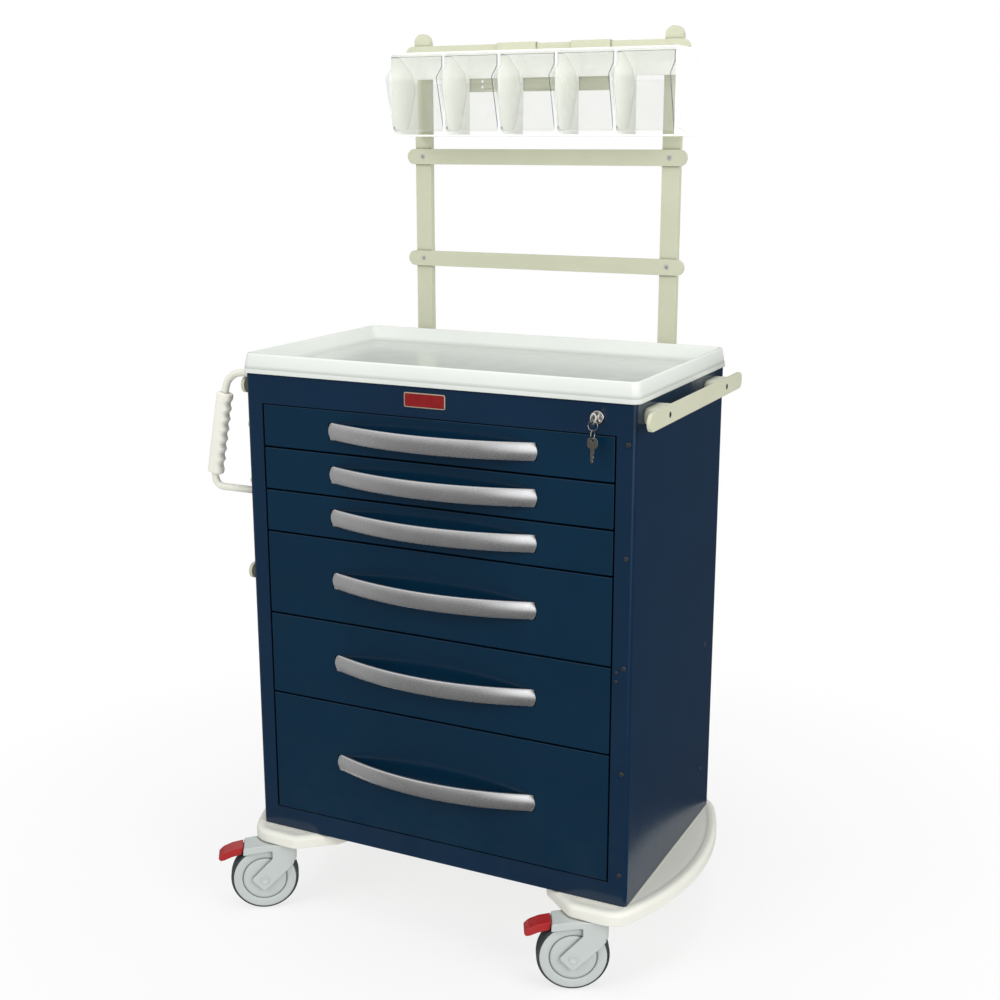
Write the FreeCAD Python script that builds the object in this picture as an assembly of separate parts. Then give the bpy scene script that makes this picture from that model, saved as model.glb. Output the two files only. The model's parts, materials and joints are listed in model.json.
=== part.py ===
import FreeCAD, Part
import math
import os

# Crash cart: six-drawer steel cabinet on a moulded base with four casters, a worktop tray,
# and a rear overbridge of two posts that carries accessory rails and a row of tilt bins.
# Units are millimetres. The origin is on the floor below the centre of the cabinet,
# +X to the right seen from the front, +Y to the back, +Z up.

Vector = FreeCAD.Vector
X_AXIS = Vector(1, 0, 0)
Y_AXIS = Vector(0, 1, 0)
Z_AXIS = Vector(0, 0, 1)

# ---------------------------------------------------------------- driving dimensions
INCH = 25.4
DRAWER_MODULES = [3, 3, 3, 6, 6, 9]      # drawer heights in inches, from the top down
SHEET = 1.5                              # cabinet sheet thickness

CABINET_HALF_W = 363.25
CABINET_FRONT = -217.5
CABINET_BACK = 217.5
CABINET_BOTTOM = 155.0
CABINET_TOP = 1008.0
OPENING_HALF_W = 331.0
OPENING_BOTTOM = 194.0
OPENING_TOP = OPENING_BOTTOM + sum(DRAWER_MODULES) * INCH
CORNER_R = 7.0
LIP_DEPTH = 17.5                         # folded lip behind the drawer opening

FRONT_GAP = 3.0                          # gap beside a drawer front
FRONT_DEPTH = 16.0
BOX_HALF_W = 315.0
BOX_FRONT = CABINET_FRONT + FRONT_DEPTH
BOX_DEPTH = 400.0
BOX_LIFT = 7.0                           # box floor above the bottom of its module
BOX_SHEET = 1.2
SLIDE_OUT = 328.0                        # outer face of the fixed slide member
SLIDE_LENGTH = 396.0
SLIDE_RISE = 24.0                        # slide centre above the box floor
SLIDE_HALF_H = 18.0
SLIDE_WALL = 1.4

PULL_HALF_W = 196.0
PULL_BOW = 38.0
PULL_H = 30.0

TRAY_TOP = 1042.0
TRAY_FLOOR = 1016.0

BASE_BOTTOM = 132.0
BASE_END_Y = 250.5                       # front and rear reach of the moulded base
BASE_RECESS_Y = 157.0
BASE_SHOULDER_X = 377.0                  # where the corner arc meets the bulging side
BASE_SHOULDER_Y = 222.0
BASE_BULGE_X = 427.0
FRAME_BOTTOM = 137.0
FRAME_TOP = 151.0
CASTER_X = 314.0
CASTER_Y = 222.5
CASTER_TURN = {                          # swivel heading of each caster at rest, degrees
    "front_right": 27.0,
    "front_left": 34.0,
    "rear_right": 24.0,
    "rear_left": 38.0,
}
WHEEL_R = 62.5
WHEEL_HALF_W = 16.0
TRAIL = 40.0
AXLE_R = 6.0
STEM_R = 10.0
PEDAL_PIVOT = Vector(-80, 0, 119.5)

POST_X = 250.0
POST_W = 33.0
POST_FRONT = 229.0
POST_DEPTH = 12.0
POST_BOTTOM = 560.0
POST_TOP = 1594.0
RAIL_H = 28.6
RAIL_T = 5.5
RAIL_HALF_L = 281.5
RAIL_LEVELS = [1178.0, 1370.0, 1557.3]

BIN_LEFT = -258.0
BIN_RIGHT = 296.0
BIN_FRONT = 118.5
BIN_BACK = 220.0
BIN_BOTTOM = 1407.0
BIN_TOP = 1554.0
BIN_WALL = 3.0
BIN_COUNT = 5
BIN_PIVOT_Y = 128.0
BIN_PIVOT_Z = 1422.0

SIDE_RAIL_FACE = 393.0
SIDE_RAIL_T = 6.35
SIDE_SCREW_Y = 148.0
HANDLE_Y = -187.5
HANDLE_R = 6.5

LOCK_X = 299.0
LOCK_Z = 983.0
LOCK_R = 8.0
CAM_R = 12.0
BAR_BACK = -187.0                        # rear face of the lock bar
BAR_FRONT = -190.0
BAR_LEFT = 334.0
BAR_RIGHT = 346.0

RUNNING = 0.05                           # radial clearance of turning fits
SCREW_CLEARANCE = 0.1


# ---------------------------------------------------------------- helpers
def box(x0, x1, y0, y1, z0, z1):
    """Box between two corners."""
    return Part.makeBox(x1 - x0, y1 - y0, z1 - z0, Vector(x0, y0, z0))


def rod(radius, start, end):
    """Round bar from one point to another."""
    way = end.sub(start)
    return Part.makeCylinder(radius, way.Length, start, way)


def face_of(points):
    """Flat face inside a closed polygon."""
    return Part.Face(Part.makePolygon(points + [points[0]]))


def prism_yz(points, x0, x1):
    """Side profile given as (y, z) points, extruded across X."""
    return face_of([Vector(x0, y, z) for y, z in points]).extrude(Vector(x1 - x0, 0, 0))


def prism_xz(points, y0, y1):
    """Front profile given as (x, z) points, extruded along Y."""
    return face_of([Vector(x, y0, z) for x, z in points]).extrude(Vector(0, y1 - y0, 0))


def fuse(shapes):
    """One solid from touching or overlapping shapes."""
    return shapes[0].fuse(shapes[1:]).removeSplitter() if len(shapes) > 1 else shapes[0]


def bar_face(half_length, height, radius):
    """Flat bar outline in the XZ plane, centred on the origin, with rounded corners."""
    a, c = half_length, height / 2
    r = min(radius, c - 0.01)
    q = r * (1 - math.sqrt(0.5))
    line = Part.makeLine
    arc = lambda p, m, e: Part.Arc(Vector(*p), Vector(*m), Vector(*e)).toShape()
    edges = [
        line(Vector(-a + r, 0, -c), Vector(a - r, 0, -c)),
        arc((a - r, 0, -c), (a - q, 0, -c + q), (a, 0, -c + r)),
        line(Vector(a, 0, -c + r), Vector(a, 0, c - r)),
        arc((a, 0, c - r), (a - q, 0, c - q), (a - r, 0, c)),
        line(Vector(a - r, 0, c), Vector(-a + r, 0, c)),
        arc((-a + r, 0, c), (-a + q, 0, c - q), (-a, 0, c - r)),
        line(Vector(-a, 0, c - r), Vector(-a, 0, -c + r)),
        arc((-a, 0, -c + r), (-a + q, 0, -c + q), (-a + r, 0, -c)),
    ]
    return Part.Face(Part.Wire(edges))


def bar_x(x0, x1, y0, y1, zc, height, radius):
    """Flat bar lying along X with rounded ends."""
    face = bar_face((x1 - x0) / 2, height, radius)
    face.translate(Vector((x0 + x1) / 2, y0, zc))
    return face.extrude(Vector(0, y1 - y0, 0))


def bar_y(x0, x1, y0, y1, zc, height, radius):
    """Flat bar lying along Y with rounded ends."""
    face = bar_face((y1 - y0) / 2, height, radius)
    face.rotate(Vector(0, 0, 0), Z_AXIS, 90)
    face.translate(Vector(x0, (y0 + y1) / 2, zc))
    return face.extrude(Vector(x1 - x0, 0, 0))


def bent_path(points, radii):
    """Wire through the points with the inner corners rounded to the given radii."""
    edges = []
    start = points[0]
    for corner, after, radius in zip(points[1:], points[2:], radii):
        back = start.sub(corner).normalize()
        ahead = after.sub(corner).normalize()
        half = math.acos(max(-1, min(1, back.dot(ahead)))) / 2
        cut = radius / math.tan(half)
        first = corner.add(Vector(back).multiply(cut))
        last = corner.add(Vector(ahead).multiply(cut))
        to_centre = back.add(ahead).normalize()
        middle = corner.add(Vector(to_centre).multiply(radius / math.sin(half) - radius))
        edges.append(Part.makeLine(start, first))
        edges.append(Part.Arc(first, middle, last).toShape())
        start = last
    edges.append(Part.makeLine(start, points[-1]))
    return Part.Wire(edges)


def save(name, shape):
    """Write one node; a list becomes a group of separate solids."""
    group = Part.makeCompound(shape) if isinstance(shape, list) else shape
    group.exportStep("parts/" + name + ".step")


# ---------------------------------------------------------------- screws
def screw_places():
    """Every domed screw as (point on the clamped face, outward direction, head radius, shank length)."""
    front, right, left, back = Vector(0, -1, 0), X_AXIS, Vector(-1, 0, 0), Y_AXIS
    places = []
    for level in (943.5, 760.2, 576.9, 393.8, 211.3):
        places.append((Vector(350.7, CABINET_FRONT, level), front, 4.0, 4.0))
    for level in (568.4, 552.9):
        places.append((Vector(338.0, CABINET_FRONT, level), front, 2.6, 4.0))
    for level in (496.0, 249.0):
        places.append((Vector(CABINET_HALF_W, 167.0, level), right, 4.0, 4.0))
        places.append((Vector(-CABINET_HALF_W, 167.0, level), left, 4.0, 4.0))
    for side in (-1, 1):
        for level in (181.0, 460.0, 700.0, 985.0):
            places.append((Vector(side * 351.0, CABINET_BACK + BOX_SHEET, level), back, 4.0, 4.0))
        for level in (600.0, 790.0, 965.0):
            post_back = Vector(side * POST_X, POST_FRONT + POST_DEPTH, level)
            places.append((post_back, back, 5.5, 20.0))
    return places


def flush_screw_places():
    """The countersunk screws of the rails, listed in the same way; their heads lie flush."""
    places = []
    for side in (-1, 1):
        for level in RAIL_LEVELS:
            rail_face = Vector(side * 248.5, POST_FRONT - RAIL_T, level)
            places.append((rail_face, Vector(0, -1, 0), 5.0, 12.0))
        places.append((Vector(SIDE_RAIL_FACE, side * SIDE_SCREW_Y, 983.0), X_AXIS, 5.0, 16.0))
        for level in (979.0, 635.0):
            rail_face = Vector(-SIDE_RAIL_FACE, side * 120.0, level)
            places.append((rail_face, Vector(-1, 0, 0), 5.0, 16.0))
    return places


def shank_radius(head):
    """Shank radius that goes with a head radius."""
    return head * 0.55


def cross_recess(top, out, head, depth):
    """Two crossed blades that cut the driver recess of a screw head."""
    reach, slit = head * 0.5, head * 0.12
    blades = []
    for a, b in ((reach, slit), (slit, reach)):
        blade = box(-a, a, -b, b, -depth, depth)
        blade.Placement = FreeCAD.Placement(top, FreeCAD.Rotation(Z_AXIS, out))
        blades.append(blade)
    return blades


def countersink(place, growth):
    """Cone of a flush screw head, from the clamped face inwards, grown by a clearance."""
    point, out, head, _length = place
    small = shank_radius(head) + growth
    depth = head - shank_radius(head)
    return Part.makeCone(small, head + growth, depth, point.sub(Vector(out).multiply(depth)), out)


def flush_screw(place):
    """Countersunk cross-recess screw."""
    point, out, head, length = place
    shank = rod(shank_radius(head), point.sub(Vector(out).multiply(length)), point)
    solid = countersink(place, 0.0).fuse(shank).removeSplitter()
    return solid.cut(cross_recess(point, out, head, 1.2))


def screw(place):
    """Domed cross-recess screw."""
    point, out, head, length = place
    height = head * 0.5
    tip = point.sub(Vector(out).multiply(length))
    top = point.add(Vector(out).multiply(height))
    solid = rod(head, point, top)
    rim = [e for e in solid.Edges if (e.CenterOfMass - top).Length < 1e-6 and e.Closed]
    solid = solid.makeFillet(height * 0.7, rim)
    solid = solid.fuse(rod(shank_radius(head), tip, point)).removeSplitter()
    return solid.cut(cross_recess(top, out, head, height * 0.45))


def drilled(shape, places, flush_places=()):
    """Shape with clearance holes for the screws that reach it, countersunk for the flush ones."""
    cutters = [countersink(place, SCREW_CLEARANCE) for place in flush_places]
    cutters = [cone for cone in cutters if cone.BoundBox.intersect(shape.BoundBox)]
    for point, out, head, length in list(places) + list(flush_places):
        hole = rod(
            shank_radius(head) + SCREW_CLEARANCE,
            point.sub(Vector(out).multiply(length + 0.5)),
            point.add(Vector(out).multiply(1.0)),
        )
        if hole.BoundBox.intersect(shape.BoundBox):
            cutters.append(hole)
    return shape.cut(cutters) if cutters else shape


# ---------------------------------------------------------------- cabinet
def cabinet_shell():
    """Welded sheet body with the front frame, its folded lips and the rear flange."""
    w, f, b = CABINET_HALF_W, CABINET_FRONT, CABINET_BACK
    outer = rounded_front_box(-w, w, f, b, CABINET_BOTTOM, CABINET_TOP, CORNER_R)
    inner = rounded_front_box(
        -w + SHEET, w - SHEET, f + SHEET, b - SHEET,
        CABINET_BOTTOM + SHEET, CABINET_TOP - SHEET, CORNER_R - SHEET,
    )
    o, z0, z1 = OPENING_HALF_W, OPENING_BOTTOM, OPENING_TOP
    shell = outer.cut(inner)
    lip = box(-o - SHEET, o + SHEET, f + 1, f + LIP_DEPTH, z0 - SHEET, z1 + SHEET)
    shell = shell.fuse(lip)
    shell = shell.cut(box(-o, o, f - 1, f + LIP_DEPTH + 1, z0, z1))
    rear = box(-w + 17, w - 17, b - 3, b + 1, CABINET_BOTTOM + 17, CABINET_TOP - 17)
    lock_hole = rod(LOCK_R + 1.05, Vector(LOCK_X, f - 1, LOCK_Z), Vector(LOCK_X, f + 3, LOCK_Z))
    return shell.cut([rear, lock_hole]).removeSplitter()


def rounded_front_box(x0, x1, y0, y1, z0, z1, radius):
    """Box with its two front vertical edges rounded."""
    solid = box(x0, x1, y0, y1, z0, z1)
    upright = [
        e for e in solid.Edges
        if abs(e.BoundBox.ZLength - (z1 - z0)) < 1e-6 and abs(e.BoundBox.YMin - y0) < 1e-6
    ]
    return solid.makeFillet(radius, upright)


def back_panel():
    """Flat sheet screwed over the rear opening."""
    w = CABINET_HALF_W - 7
    return box(-w, w, CABINET_BACK, CABINET_BACK + BOX_SHEET, CABINET_BOTTOM + 7, CABINET_TOP - 7)


def inner_brackets():
    """Four uprights that carry the slides, and two guides for the lock bar."""
    solids = []
    reach = CABINET_HALF_W - SHEET
    z0, z1 = CABINET_BOTTOM + SHEET, CABINET_TOP - SHEET
    for y0 in (-180.0, 150.0):
        channel = box(SLIDE_OUT, reach, y0, y0 + 30, z0, z1)
        hollow = box(SLIDE_OUT + SHEET, reach + 1, y0 + SHEET, y0 + 30 - SHEET, z0 - 1, z1 + 1)
        channel = channel.cut(hollow)
        solids.append(channel)
        solids.append(channel.mirror(Vector(0, 0, 0), X_AXIS))
    play = 0.15
    for level in (300.0, 905.0):
        guide = box(BAR_LEFT - 2, reach, BAR_FRONT - 2, BAR_BACK + 2, level, level + 12)
        slot = box(
            BAR_LEFT - play, BAR_RIGHT + play, BAR_FRONT - play, BAR_BACK + play,
            level - 1, level + 13,
        )
        solids.append(guide.cut(slot))
    return solids


# ---------------------------------------------------------------- drawers
def drawer_levels():
    """Bottom and top of every drawer module, from the top drawer down."""
    levels = []
    top = OPENING_TOP
    for inches in DRAWER_MODULES:
        bottom = top - inches * INCH
        levels.append((bottom, top))
        top = bottom
    return levels


def channel_section(web_outer, toe, half_height, y0, y1, zc, wall):
    """C channel on the right side of a drawer, opening towards the centre or outwards."""
    low, high = min(web_outer, toe), max(web_outer, toe)
    solid = box(low, high, y0, y1, zc - half_height, zc + half_height)
    inner_half = half_height - wall
    if toe < web_outer:
        hollow = box(low - 1, high - wall, y0 - 1, y1 + 1, zc - inner_half, zc + inner_half)
    else:
        hollow = box(low + wall, high + 1, y0 - 1, y1 + 1, zc - inner_half, zc + inner_half)
    return solid.cut(hollow)


def both_sides(solid):
    """A part and its mirror image on the left side."""
    return [solid, solid.mirror(Vector(0, 0, 0), X_AXIS)]


def slide_outer(zc):
    """Fixed slide members."""
    y0 = BOX_FRONT + 5.5
    web = SLIDE_OUT
    return both_sides(channel_section(web, web - 10.5, SLIDE_HALF_H, y0, y0 + SLIDE_LENGTH, zc, SLIDE_WALL))


def slide_middle(zc):
    """Intermediate slide members, nested in the fixed ones."""
    y0 = BOX_FRONT + 5.5
    web = SLIDE_OUT - SLIDE_WALL - 0.8
    half = SLIDE_HALF_H - SLIDE_WALL - 0.6
    return both_sides(channel_section(web, web - 7.5, half, y0, y0 + SLIDE_LENGTH - 6, zc, SLIDE_WALL))


def slide_inner(zc):
    """Slide members fixed to the sides of the drawer box, nested in the middle ones."""
    y0 = BOX_FRONT + 4.5
    web = BOX_HALF_W
    half = SLIDE_HALF_H - 2 * SLIDE_WALL - 1.2
    return both_sides(channel_section(web, web + 8.2, half, y0, y0 + SLIDE_LENGTH - 4, zc, SLIDE_WALL))


def drawer_box(bottom, top):
    """Open sheet box with a catch for the lock bar on its right side."""
    z0 = bottom + BOX_LIFT
    z1 = top - 9
    w, t = BOX_HALF_W, BOX_SHEET
    y0, y1 = BOX_FRONT, BOX_FRONT + BOX_DEPTH
    body = box(-w, w, y0, y1, z0, z1)
    body = body.cut(box(-w + t, w - t, y0 + t, y1 - t, z0 + t, z1 + 1))
    catch_z = z0 + 45
    catch = box(w - 0.5, w + 10, BAR_BACK + 4, BAR_BACK + 10, catch_z, catch_z + 8)
    return body.fuse(catch).removeSplitter()


def drawer_front(bottom, top):
    """Folded pan: face sheet, four returns and inward flanges that meet the box."""
    w = OPENING_HALF_W - FRONT_GAP
    half_gap = FRONT_GAP / 2
    z0, z1 = bottom + half_gap, top - half_gap
    y0, y1 = CABINET_FRONT, BOX_FRONT
    pan = box(-w, w, y0, y1, z0, z1)
    pan = pan.makeFillet(1.4, [e for e in pan.Edges if abs(e.BoundBox.YMax - y0) < 1e-6])
    t = SHEET
    pocket = box(-w + t, w - t, y0 + t, y1 - t, z0 + t, z1 - t)
    window_z0 = bottom + BOX_LIFT + 3
    window = box(-BOX_HALF_W + 3, BOX_HALF_W - 3, y1 - 2 * t, y1 + 1, window_z0, top - 12)
    return pan.cut([pocket, window])


def drawer_pull(bottom, top):
    """Bowed aluminium pull, proudest at its middle, with a crowned face."""
    arc_r = (PULL_HALF_W ** 2 + PULL_BOW ** 2) / (2 * PULL_BOW)
    zc = (bottom + top) / 2
    face_y = CABINET_FRONT - PULL_BOW
    crown, thickness = 3.0, 9.0
    h = PULL_H / 2
    back = face_y + thickness
    low, high = Vector(0, face_y + crown, zc - h), Vector(0, face_y + crown, zc + h)
    edges = [
        Part.makeLine(Vector(0, back, zc - h), low),
        Part.Arc(low, Vector(0, face_y, zc), high).toShape(),
        Part.makeLine(high, Vector(0, back, zc + h)),
        Part.makeLine(Vector(0, back, zc + h), Vector(0, back, zc - h)),
    ]
    section = Part.Face(Part.Wire(edges))
    centre = Vector(0, face_y + arc_r, zc)
    sweep = 25.0
    section.rotate(centre, Z_AXIS, -sweep)
    bow = section.revolve(centre, Z_AXIS, 2 * sweep)
    limits = bar_x(-PULL_HALF_W, PULL_HALF_W, face_y - 5, CABINET_FRONT, zc, PULL_H - 0.2, 7.0)
    return bow.common(limits)


# ---------------------------------------------------------------- lock
def lock_housing():
    """Flanged barrel fixed in the top rail of the front frame."""
    def on_axis(y):
        return Vector(LOCK_X, y, LOCK_Z)
    flange = rod(11.0, on_axis(CABINET_FRONT - 4), on_axis(CABINET_FRONT))
    rim = [e for e in flange.Edges if e.Closed and abs(e.BoundBox.YMin - (CABINET_FRONT - 4)) < 1e-6]
    flange = flange.makeFillet(1.5, rim)
    barrel = rod(LOCK_R + 1.0, on_axis(CABINET_FRONT - 1), on_axis(-195.0))
    bore = rod(LOCK_R + RUNNING, on_axis(CABINET_FRONT - 9), on_axis(-190.0))
    return flange.fuse(barrel).cut(bore).removeSplitter()


def lock_plug():
    """Turning plug with its rear cam and pin, and the key that stands in it."""
    def on_axis(y):
        return Vector(LOCK_X, y, LOCK_Z)
    face_y = CABINET_FRONT - 5.0
    plug = rod(LOCK_R, on_axis(face_y), on_axis(-191.5))
    cam = bar_x(LOCK_X - 6, LOCK_X + CAM_R + 4, -194.0, -191.5, LOCK_Z, 8.0, 3.9)
    pin_start = Vector(LOCK_X + CAM_R, -192.0, LOCK_Z)
    pin = rod(1.5, pin_start, pin_start.add(Vector(0, 8, 0)))
    plug = fuse([plug, cam, pin])
    bow_centre = Vector(LOCK_X - 0.8, face_y - 15.5, LOCK_Z)
    bow = Part.makeCylinder(11.0, 1.6, bow_centre, X_AXIS)
    bow = bow.fuse(box(LOCK_X - 0.8, LOCK_X + 0.8, face_y - 8, face_y, LOCK_Z - 3.2, LOCK_Z + 3.2))
    hole = Part.makeCylinder(7.0, 4, bow_centre.sub(Vector(1, 0, 0)), X_AXIS)
    return [plug, bow.cut(hole).removeSplitter()]


def key_ring():
    """Split ring that hangs in the bow of the key."""
    ring_r, wire_r = 8.0, 0.6
    return Part.makeTorus(ring_r, wire_r, Vector(LOCK_X, CABINET_FRONT - 20.5, LOCK_Z - 10.0), Y_AXIS)


def lock_bar():
    """Vertical bar with a slotted arm for the cam pin and one tongue for each drawer."""
    pieces = [box(BAR_LEFT, BAR_RIGHT, BAR_FRONT, BAR_BACK, 205.0, LOCK_Z + 8)]
    pieces.append(box(LOCK_X - 6, BAR_RIGHT, BAR_FRONT, BAR_BACK, LOCK_Z - 8, LOCK_Z + 8))
    for bottom, _top in drawer_levels():
        tongue_z = bottom + BOX_LIFT + 57
        pieces.append(box(319.0, BAR_RIGHT, BAR_FRONT, BAR_BACK, tongue_z, tongue_z + 8))
    slot = box(LOCK_X - 2.5, LOCK_X + CAM_R + 3, BAR_FRONT - 1, BAR_BACK + 1, LOCK_Z - 4.2, LOCK_Z + 4.2)
    return fuse(pieces).cut(slot)


def name_plate():
    """Blank plate on the top rail of the front frame."""
    plate = bar_x(-46.0, 31.0, CABINET_FRONT - 1.5, CABINET_FRONT, 985.0, 25.0, 3.0)
    front = [e for e in plate.Edges if abs(e.BoundBox.YMax - (CABINET_FRONT - 1.5)) < 1e-6]
    return plate.makeFillet(0.6, front)


# ---------------------------------------------------------------- worktop and base
def rounded_rect(half_x, half_y, z, radius):
    """Closed outline of a rectangle with rounded corners, flat at height z."""
    face = bar_face(half_x, 2 * half_y, radius)
    face.rotate(Vector(0, 0, 0), X_AXIS, 90)
    face.translate(Vector(0, 0, z))
    return face.OuterWire


def worktop_tray():
    """Moulded tray on the cabinet top: raised rim, sloping walls inside and outside."""
    outer = Part.makeLoft([
        rounded_rect(369.0, 223.5, CABINET_TOP, 14.0),
        rounded_rect(364.0, 218.5, TRAY_TOP, 14.0),
    ], True)
    inner = Part.makeLoft([
        rounded_rect(341.0, 196.0, TRAY_FLOOR, 22.0),
        rounded_rect(359.5, 214.0, TRAY_TOP + 0.01, 11.0),
    ], True)
    tray = outer.cut(inner)
    inner_floor = [
        e for e in tray.Edges
        if abs(e.BoundBox.ZMax - TRAY_FLOOR) < 1e-4 and abs(e.BoundBox.ZMin - TRAY_FLOOR) < 1e-4
    ]
    return tray.makeFillet(5.0, inner_floor)


def base_outline(z):
    """Outline of the moulded base: bulging sides, recess between the casters at front and rear."""
    rise = BASE_BULGE_X - BASE_SHOULDER_X
    side_r = (BASE_SHOULDER_Y ** 2 + rise ** 2) / (2 * rise)
    turn = math.pi / 2 - math.asin(BASE_SHOULDER_Y / side_r)
    corner_r = (BASE_END_Y - BASE_SHOULDER_Y) / (1 - math.cos(turn))
    corner_x = BASE_SHOULDER_X - corner_r * math.sin(turn)
    slant = math.radians(39.0)
    slant_r = 24.0
    slant_x = 283.0
    def on_arc(x, radius, angle):
        return (x + radius * math.sin(angle), BASE_END_Y - radius * (1 - math.cos(angle)))
    slant_start = on_arc(slant_x, slant_r, -slant)
    neck_y = 200.0
    neck_x = slant_start[0] - (slant_start[1] - neck_y) / math.tan(slant)
    quarter = [
        (190.0, BASE_RECESS_Y), (neck_x, neck_y), slant_start, on_arc(slant_x, slant_r, -slant / 2),
        (slant_x, BASE_END_Y), (corner_x, BASE_END_Y), on_arc(corner_x, corner_r, turn / 2),
        (BASE_SHOULDER_X, BASE_SHOULDER_Y),
    ]
    edges = []
    for mx in (1, -1):
        for my in (1, -1):
            p = [Vector(x * mx, y * my, z) for x, y in quarter]
            edges.append(Part.makeLine(p[0], p[1]))
            edges.append(Part.makeLine(p[1], p[2]))
            edges.append(Part.Arc(p[2], p[3], p[4]).toShape())
            edges.append(Part.makeLine(p[4], p[5]))
            edges.append(Part.Arc(p[5], p[6], p[7]).toShape())
        ends = [Vector(BASE_SHOULDER_X * mx, BASE_SHOULDER_Y * my, z) for my in (1, -1)]
        edges.append(Part.Arc(ends[0], Vector(BASE_BULGE_X * mx, 0, z), ends[1]).toShape())
    for my in (1, -1):
        y = BASE_RECESS_Y * my
        edges.append(Part.makeLine(Vector(-quarter[0][0], y, z), Vector(quarter[0][0], y, z)))
    return Part.Face(Part.Wire(Part.__sortEdges__(edges)))


def base_skirt():
    """Moulded base cover, hollow from below."""
    wall = 4.0
    solid = base_outline(BASE_BOTTOM).extrude(Vector(0, 0, CABINET_BOTTOM - BASE_BOTTOM))
    upper = [e for e in solid.Edges if e.BoundBox.ZMin > CABINET_BOTTOM - 1e-4]
    solid = solid.makeFillet(7.0, upper)
    hollow = base_outline(BASE_BOTTOM - 1).makeOffset2D(-wall)
    hollow = hollow.extrude(Vector(0, 0, FRAME_TOP - BASE_BOTTOM + 1))
    return solid.cut(hollow)


def base_frame():
    """Steel chassis inside the base: two side members with caster sockets, two cross members."""
    pieces = []
    for side in (-1, 1):
        x = side * CASTER_X
        pieces.append(box(x - 30, x + 30, -244, 244, FRAME_BOTTOM, FRAME_TOP))
        pieces.append(box(-CASTER_X, CASTER_X, side * 100 - 20, side * 100 + 20, FRAME_BOTTOM, FRAME_TOP))
    frame = fuse(pieces)
    sockets = []
    for x in (-CASTER_X, CASTER_X):
        for y in (-CASTER_Y, CASTER_Y):
            low, high = Vector(x, y, FRAME_BOTTOM - 1), Vector(x, y, FRAME_TOP - 0.6)
            sockets.append(rod(STEM_R + RUNNING, low, high))
    return frame.cut(sockets)


# ---------------------------------------------------------------- casters
def place_caster(shape, name):
    """Turn a caster piece about its swivel axis and move it to its corner."""
    side_y, side_x = name.split("_")
    x = CASTER_X if side_x == "right" else -CASTER_X
    y = -CASTER_Y if side_y == "front" else CASTER_Y
    moved = shape.copy()
    moved.rotate(Vector(0, 0, 0), Z_AXIS, CASTER_TURN[name])
    moved.translate(Vector(x, y, 0))
    return moved


def caster_fork(braked):
    """Moulded swivel fork in its own frame: swivel axis on Z, wheel trailing along -X."""
    inner, outer = 17.5, 23.5
    leg = [(-64, 63.3), (-40.8, 38.5), (20, 95), (20, 131), (-24, 131), (-24.6, 100)]
    guard = [
        (-20, 131), (-50, 130.5), (-80, 128), (-86, 126), (-86, 113.5), (-76, 112.8), (-60, 115.5),
        (-27, 119), (-20, 108),
    ]
    legs = [prism_xz(leg, -outer, -inner), prism_xz(leg, inner, outer)]
    hood = prism_xz(guard, -outer, outer)
    neck = rod(20.0, Vector(0, 0, 96), Vector(0, 0, FRAME_BOTTOM - 0.5))
    yoke = box(-22, 20, -outer, outer, 112, 131)
    stem = rod(STEM_R, Vector(0, 0, FRAME_BOTTOM - 2), Vector(0, 0, FRAME_TOP - 1.2))
    fork = fuse(legs + [hood, yoke, neck, stem])
    axle_at = Vector(-TRAIL, 0, WHEEL_R)
    clear = WHEEL_R + 3
    wheel_room = rod(clear, axle_at.sub(Vector(0, inner, 0)), axle_at.add(Vector(0, inner, 0)))
    axle_hole = rod(AXLE_R, axle_at.sub(Vector(0, 40, 0)), axle_at.add(Vector(0, 40, 0)))
    fork = fork.cut([wheel_room, axle_hole])
    if braked:
        fork = fork.cut(box(-95, -71, -15.6, 15.6, 105, 125.2))
        fork = fork.cut(box(-95, -83.2, -40, 40, 105, 135))
        ends = [Vector(PEDAL_PIVOT.x, y, PEDAL_PIVOT.z) for y in (-19.0, 19.0)]
        fork = fork.fuse(rod(2.0, ends[0], ends[1]))
    fork = fork.removeSplitter()
    cap = 1.6
    axle = rod(AXLE_R, axle_at.sub(Vector(0, outer, 0)), axle_at.add(Vector(0, outer, 0)))
    heads = []
    for way in (-1, 1):
        start = axle_at.add(Vector(0, way * outer, 0))
        head = rod(8.5, start, start.add(Vector(0, way * cap, 0)))
        heads.append(head.makeChamfer(0.7, [e for e in head.Edges if e.Closed]))
    return [fork, fuse([axle] + heads)]


def caster_wheel():
    """Tyre and hub of one wheel, turning on the axle."""
    axle_at = Vector(-TRAIL, 0, WHEEL_R)
    def ring(radius, half_width):
        return rod(radius, axle_at.sub(Vector(0, half_width, 0)), axle_at.add(Vector(0, half_width, 0)))
    rim_r = 53.0
    tyre = ring(WHEEL_R, WHEEL_HALF_W)
    tyre = tyre.makeFillet(7.0, [e for e in tyre.Edges if e.Closed])
    tyre = tyre.cut(ring(rim_r, 30))
    hub = ring(rim_r, WHEEL_HALF_W - 0.2).cut(ring(AXLE_R + RUNNING, 30))
    for way in (-1, 1):
        face = axle_at.add(Vector(0, way * (WHEEL_HALF_W - 0.2), 0))
        inside = face.sub(Vector(0, way * 2.0, 0))
        groove = rod(40.8, face, inside).cut(rod(39.4, face, inside))
        hub = hub.cut(groove)
    return [tyre, hub]


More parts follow.
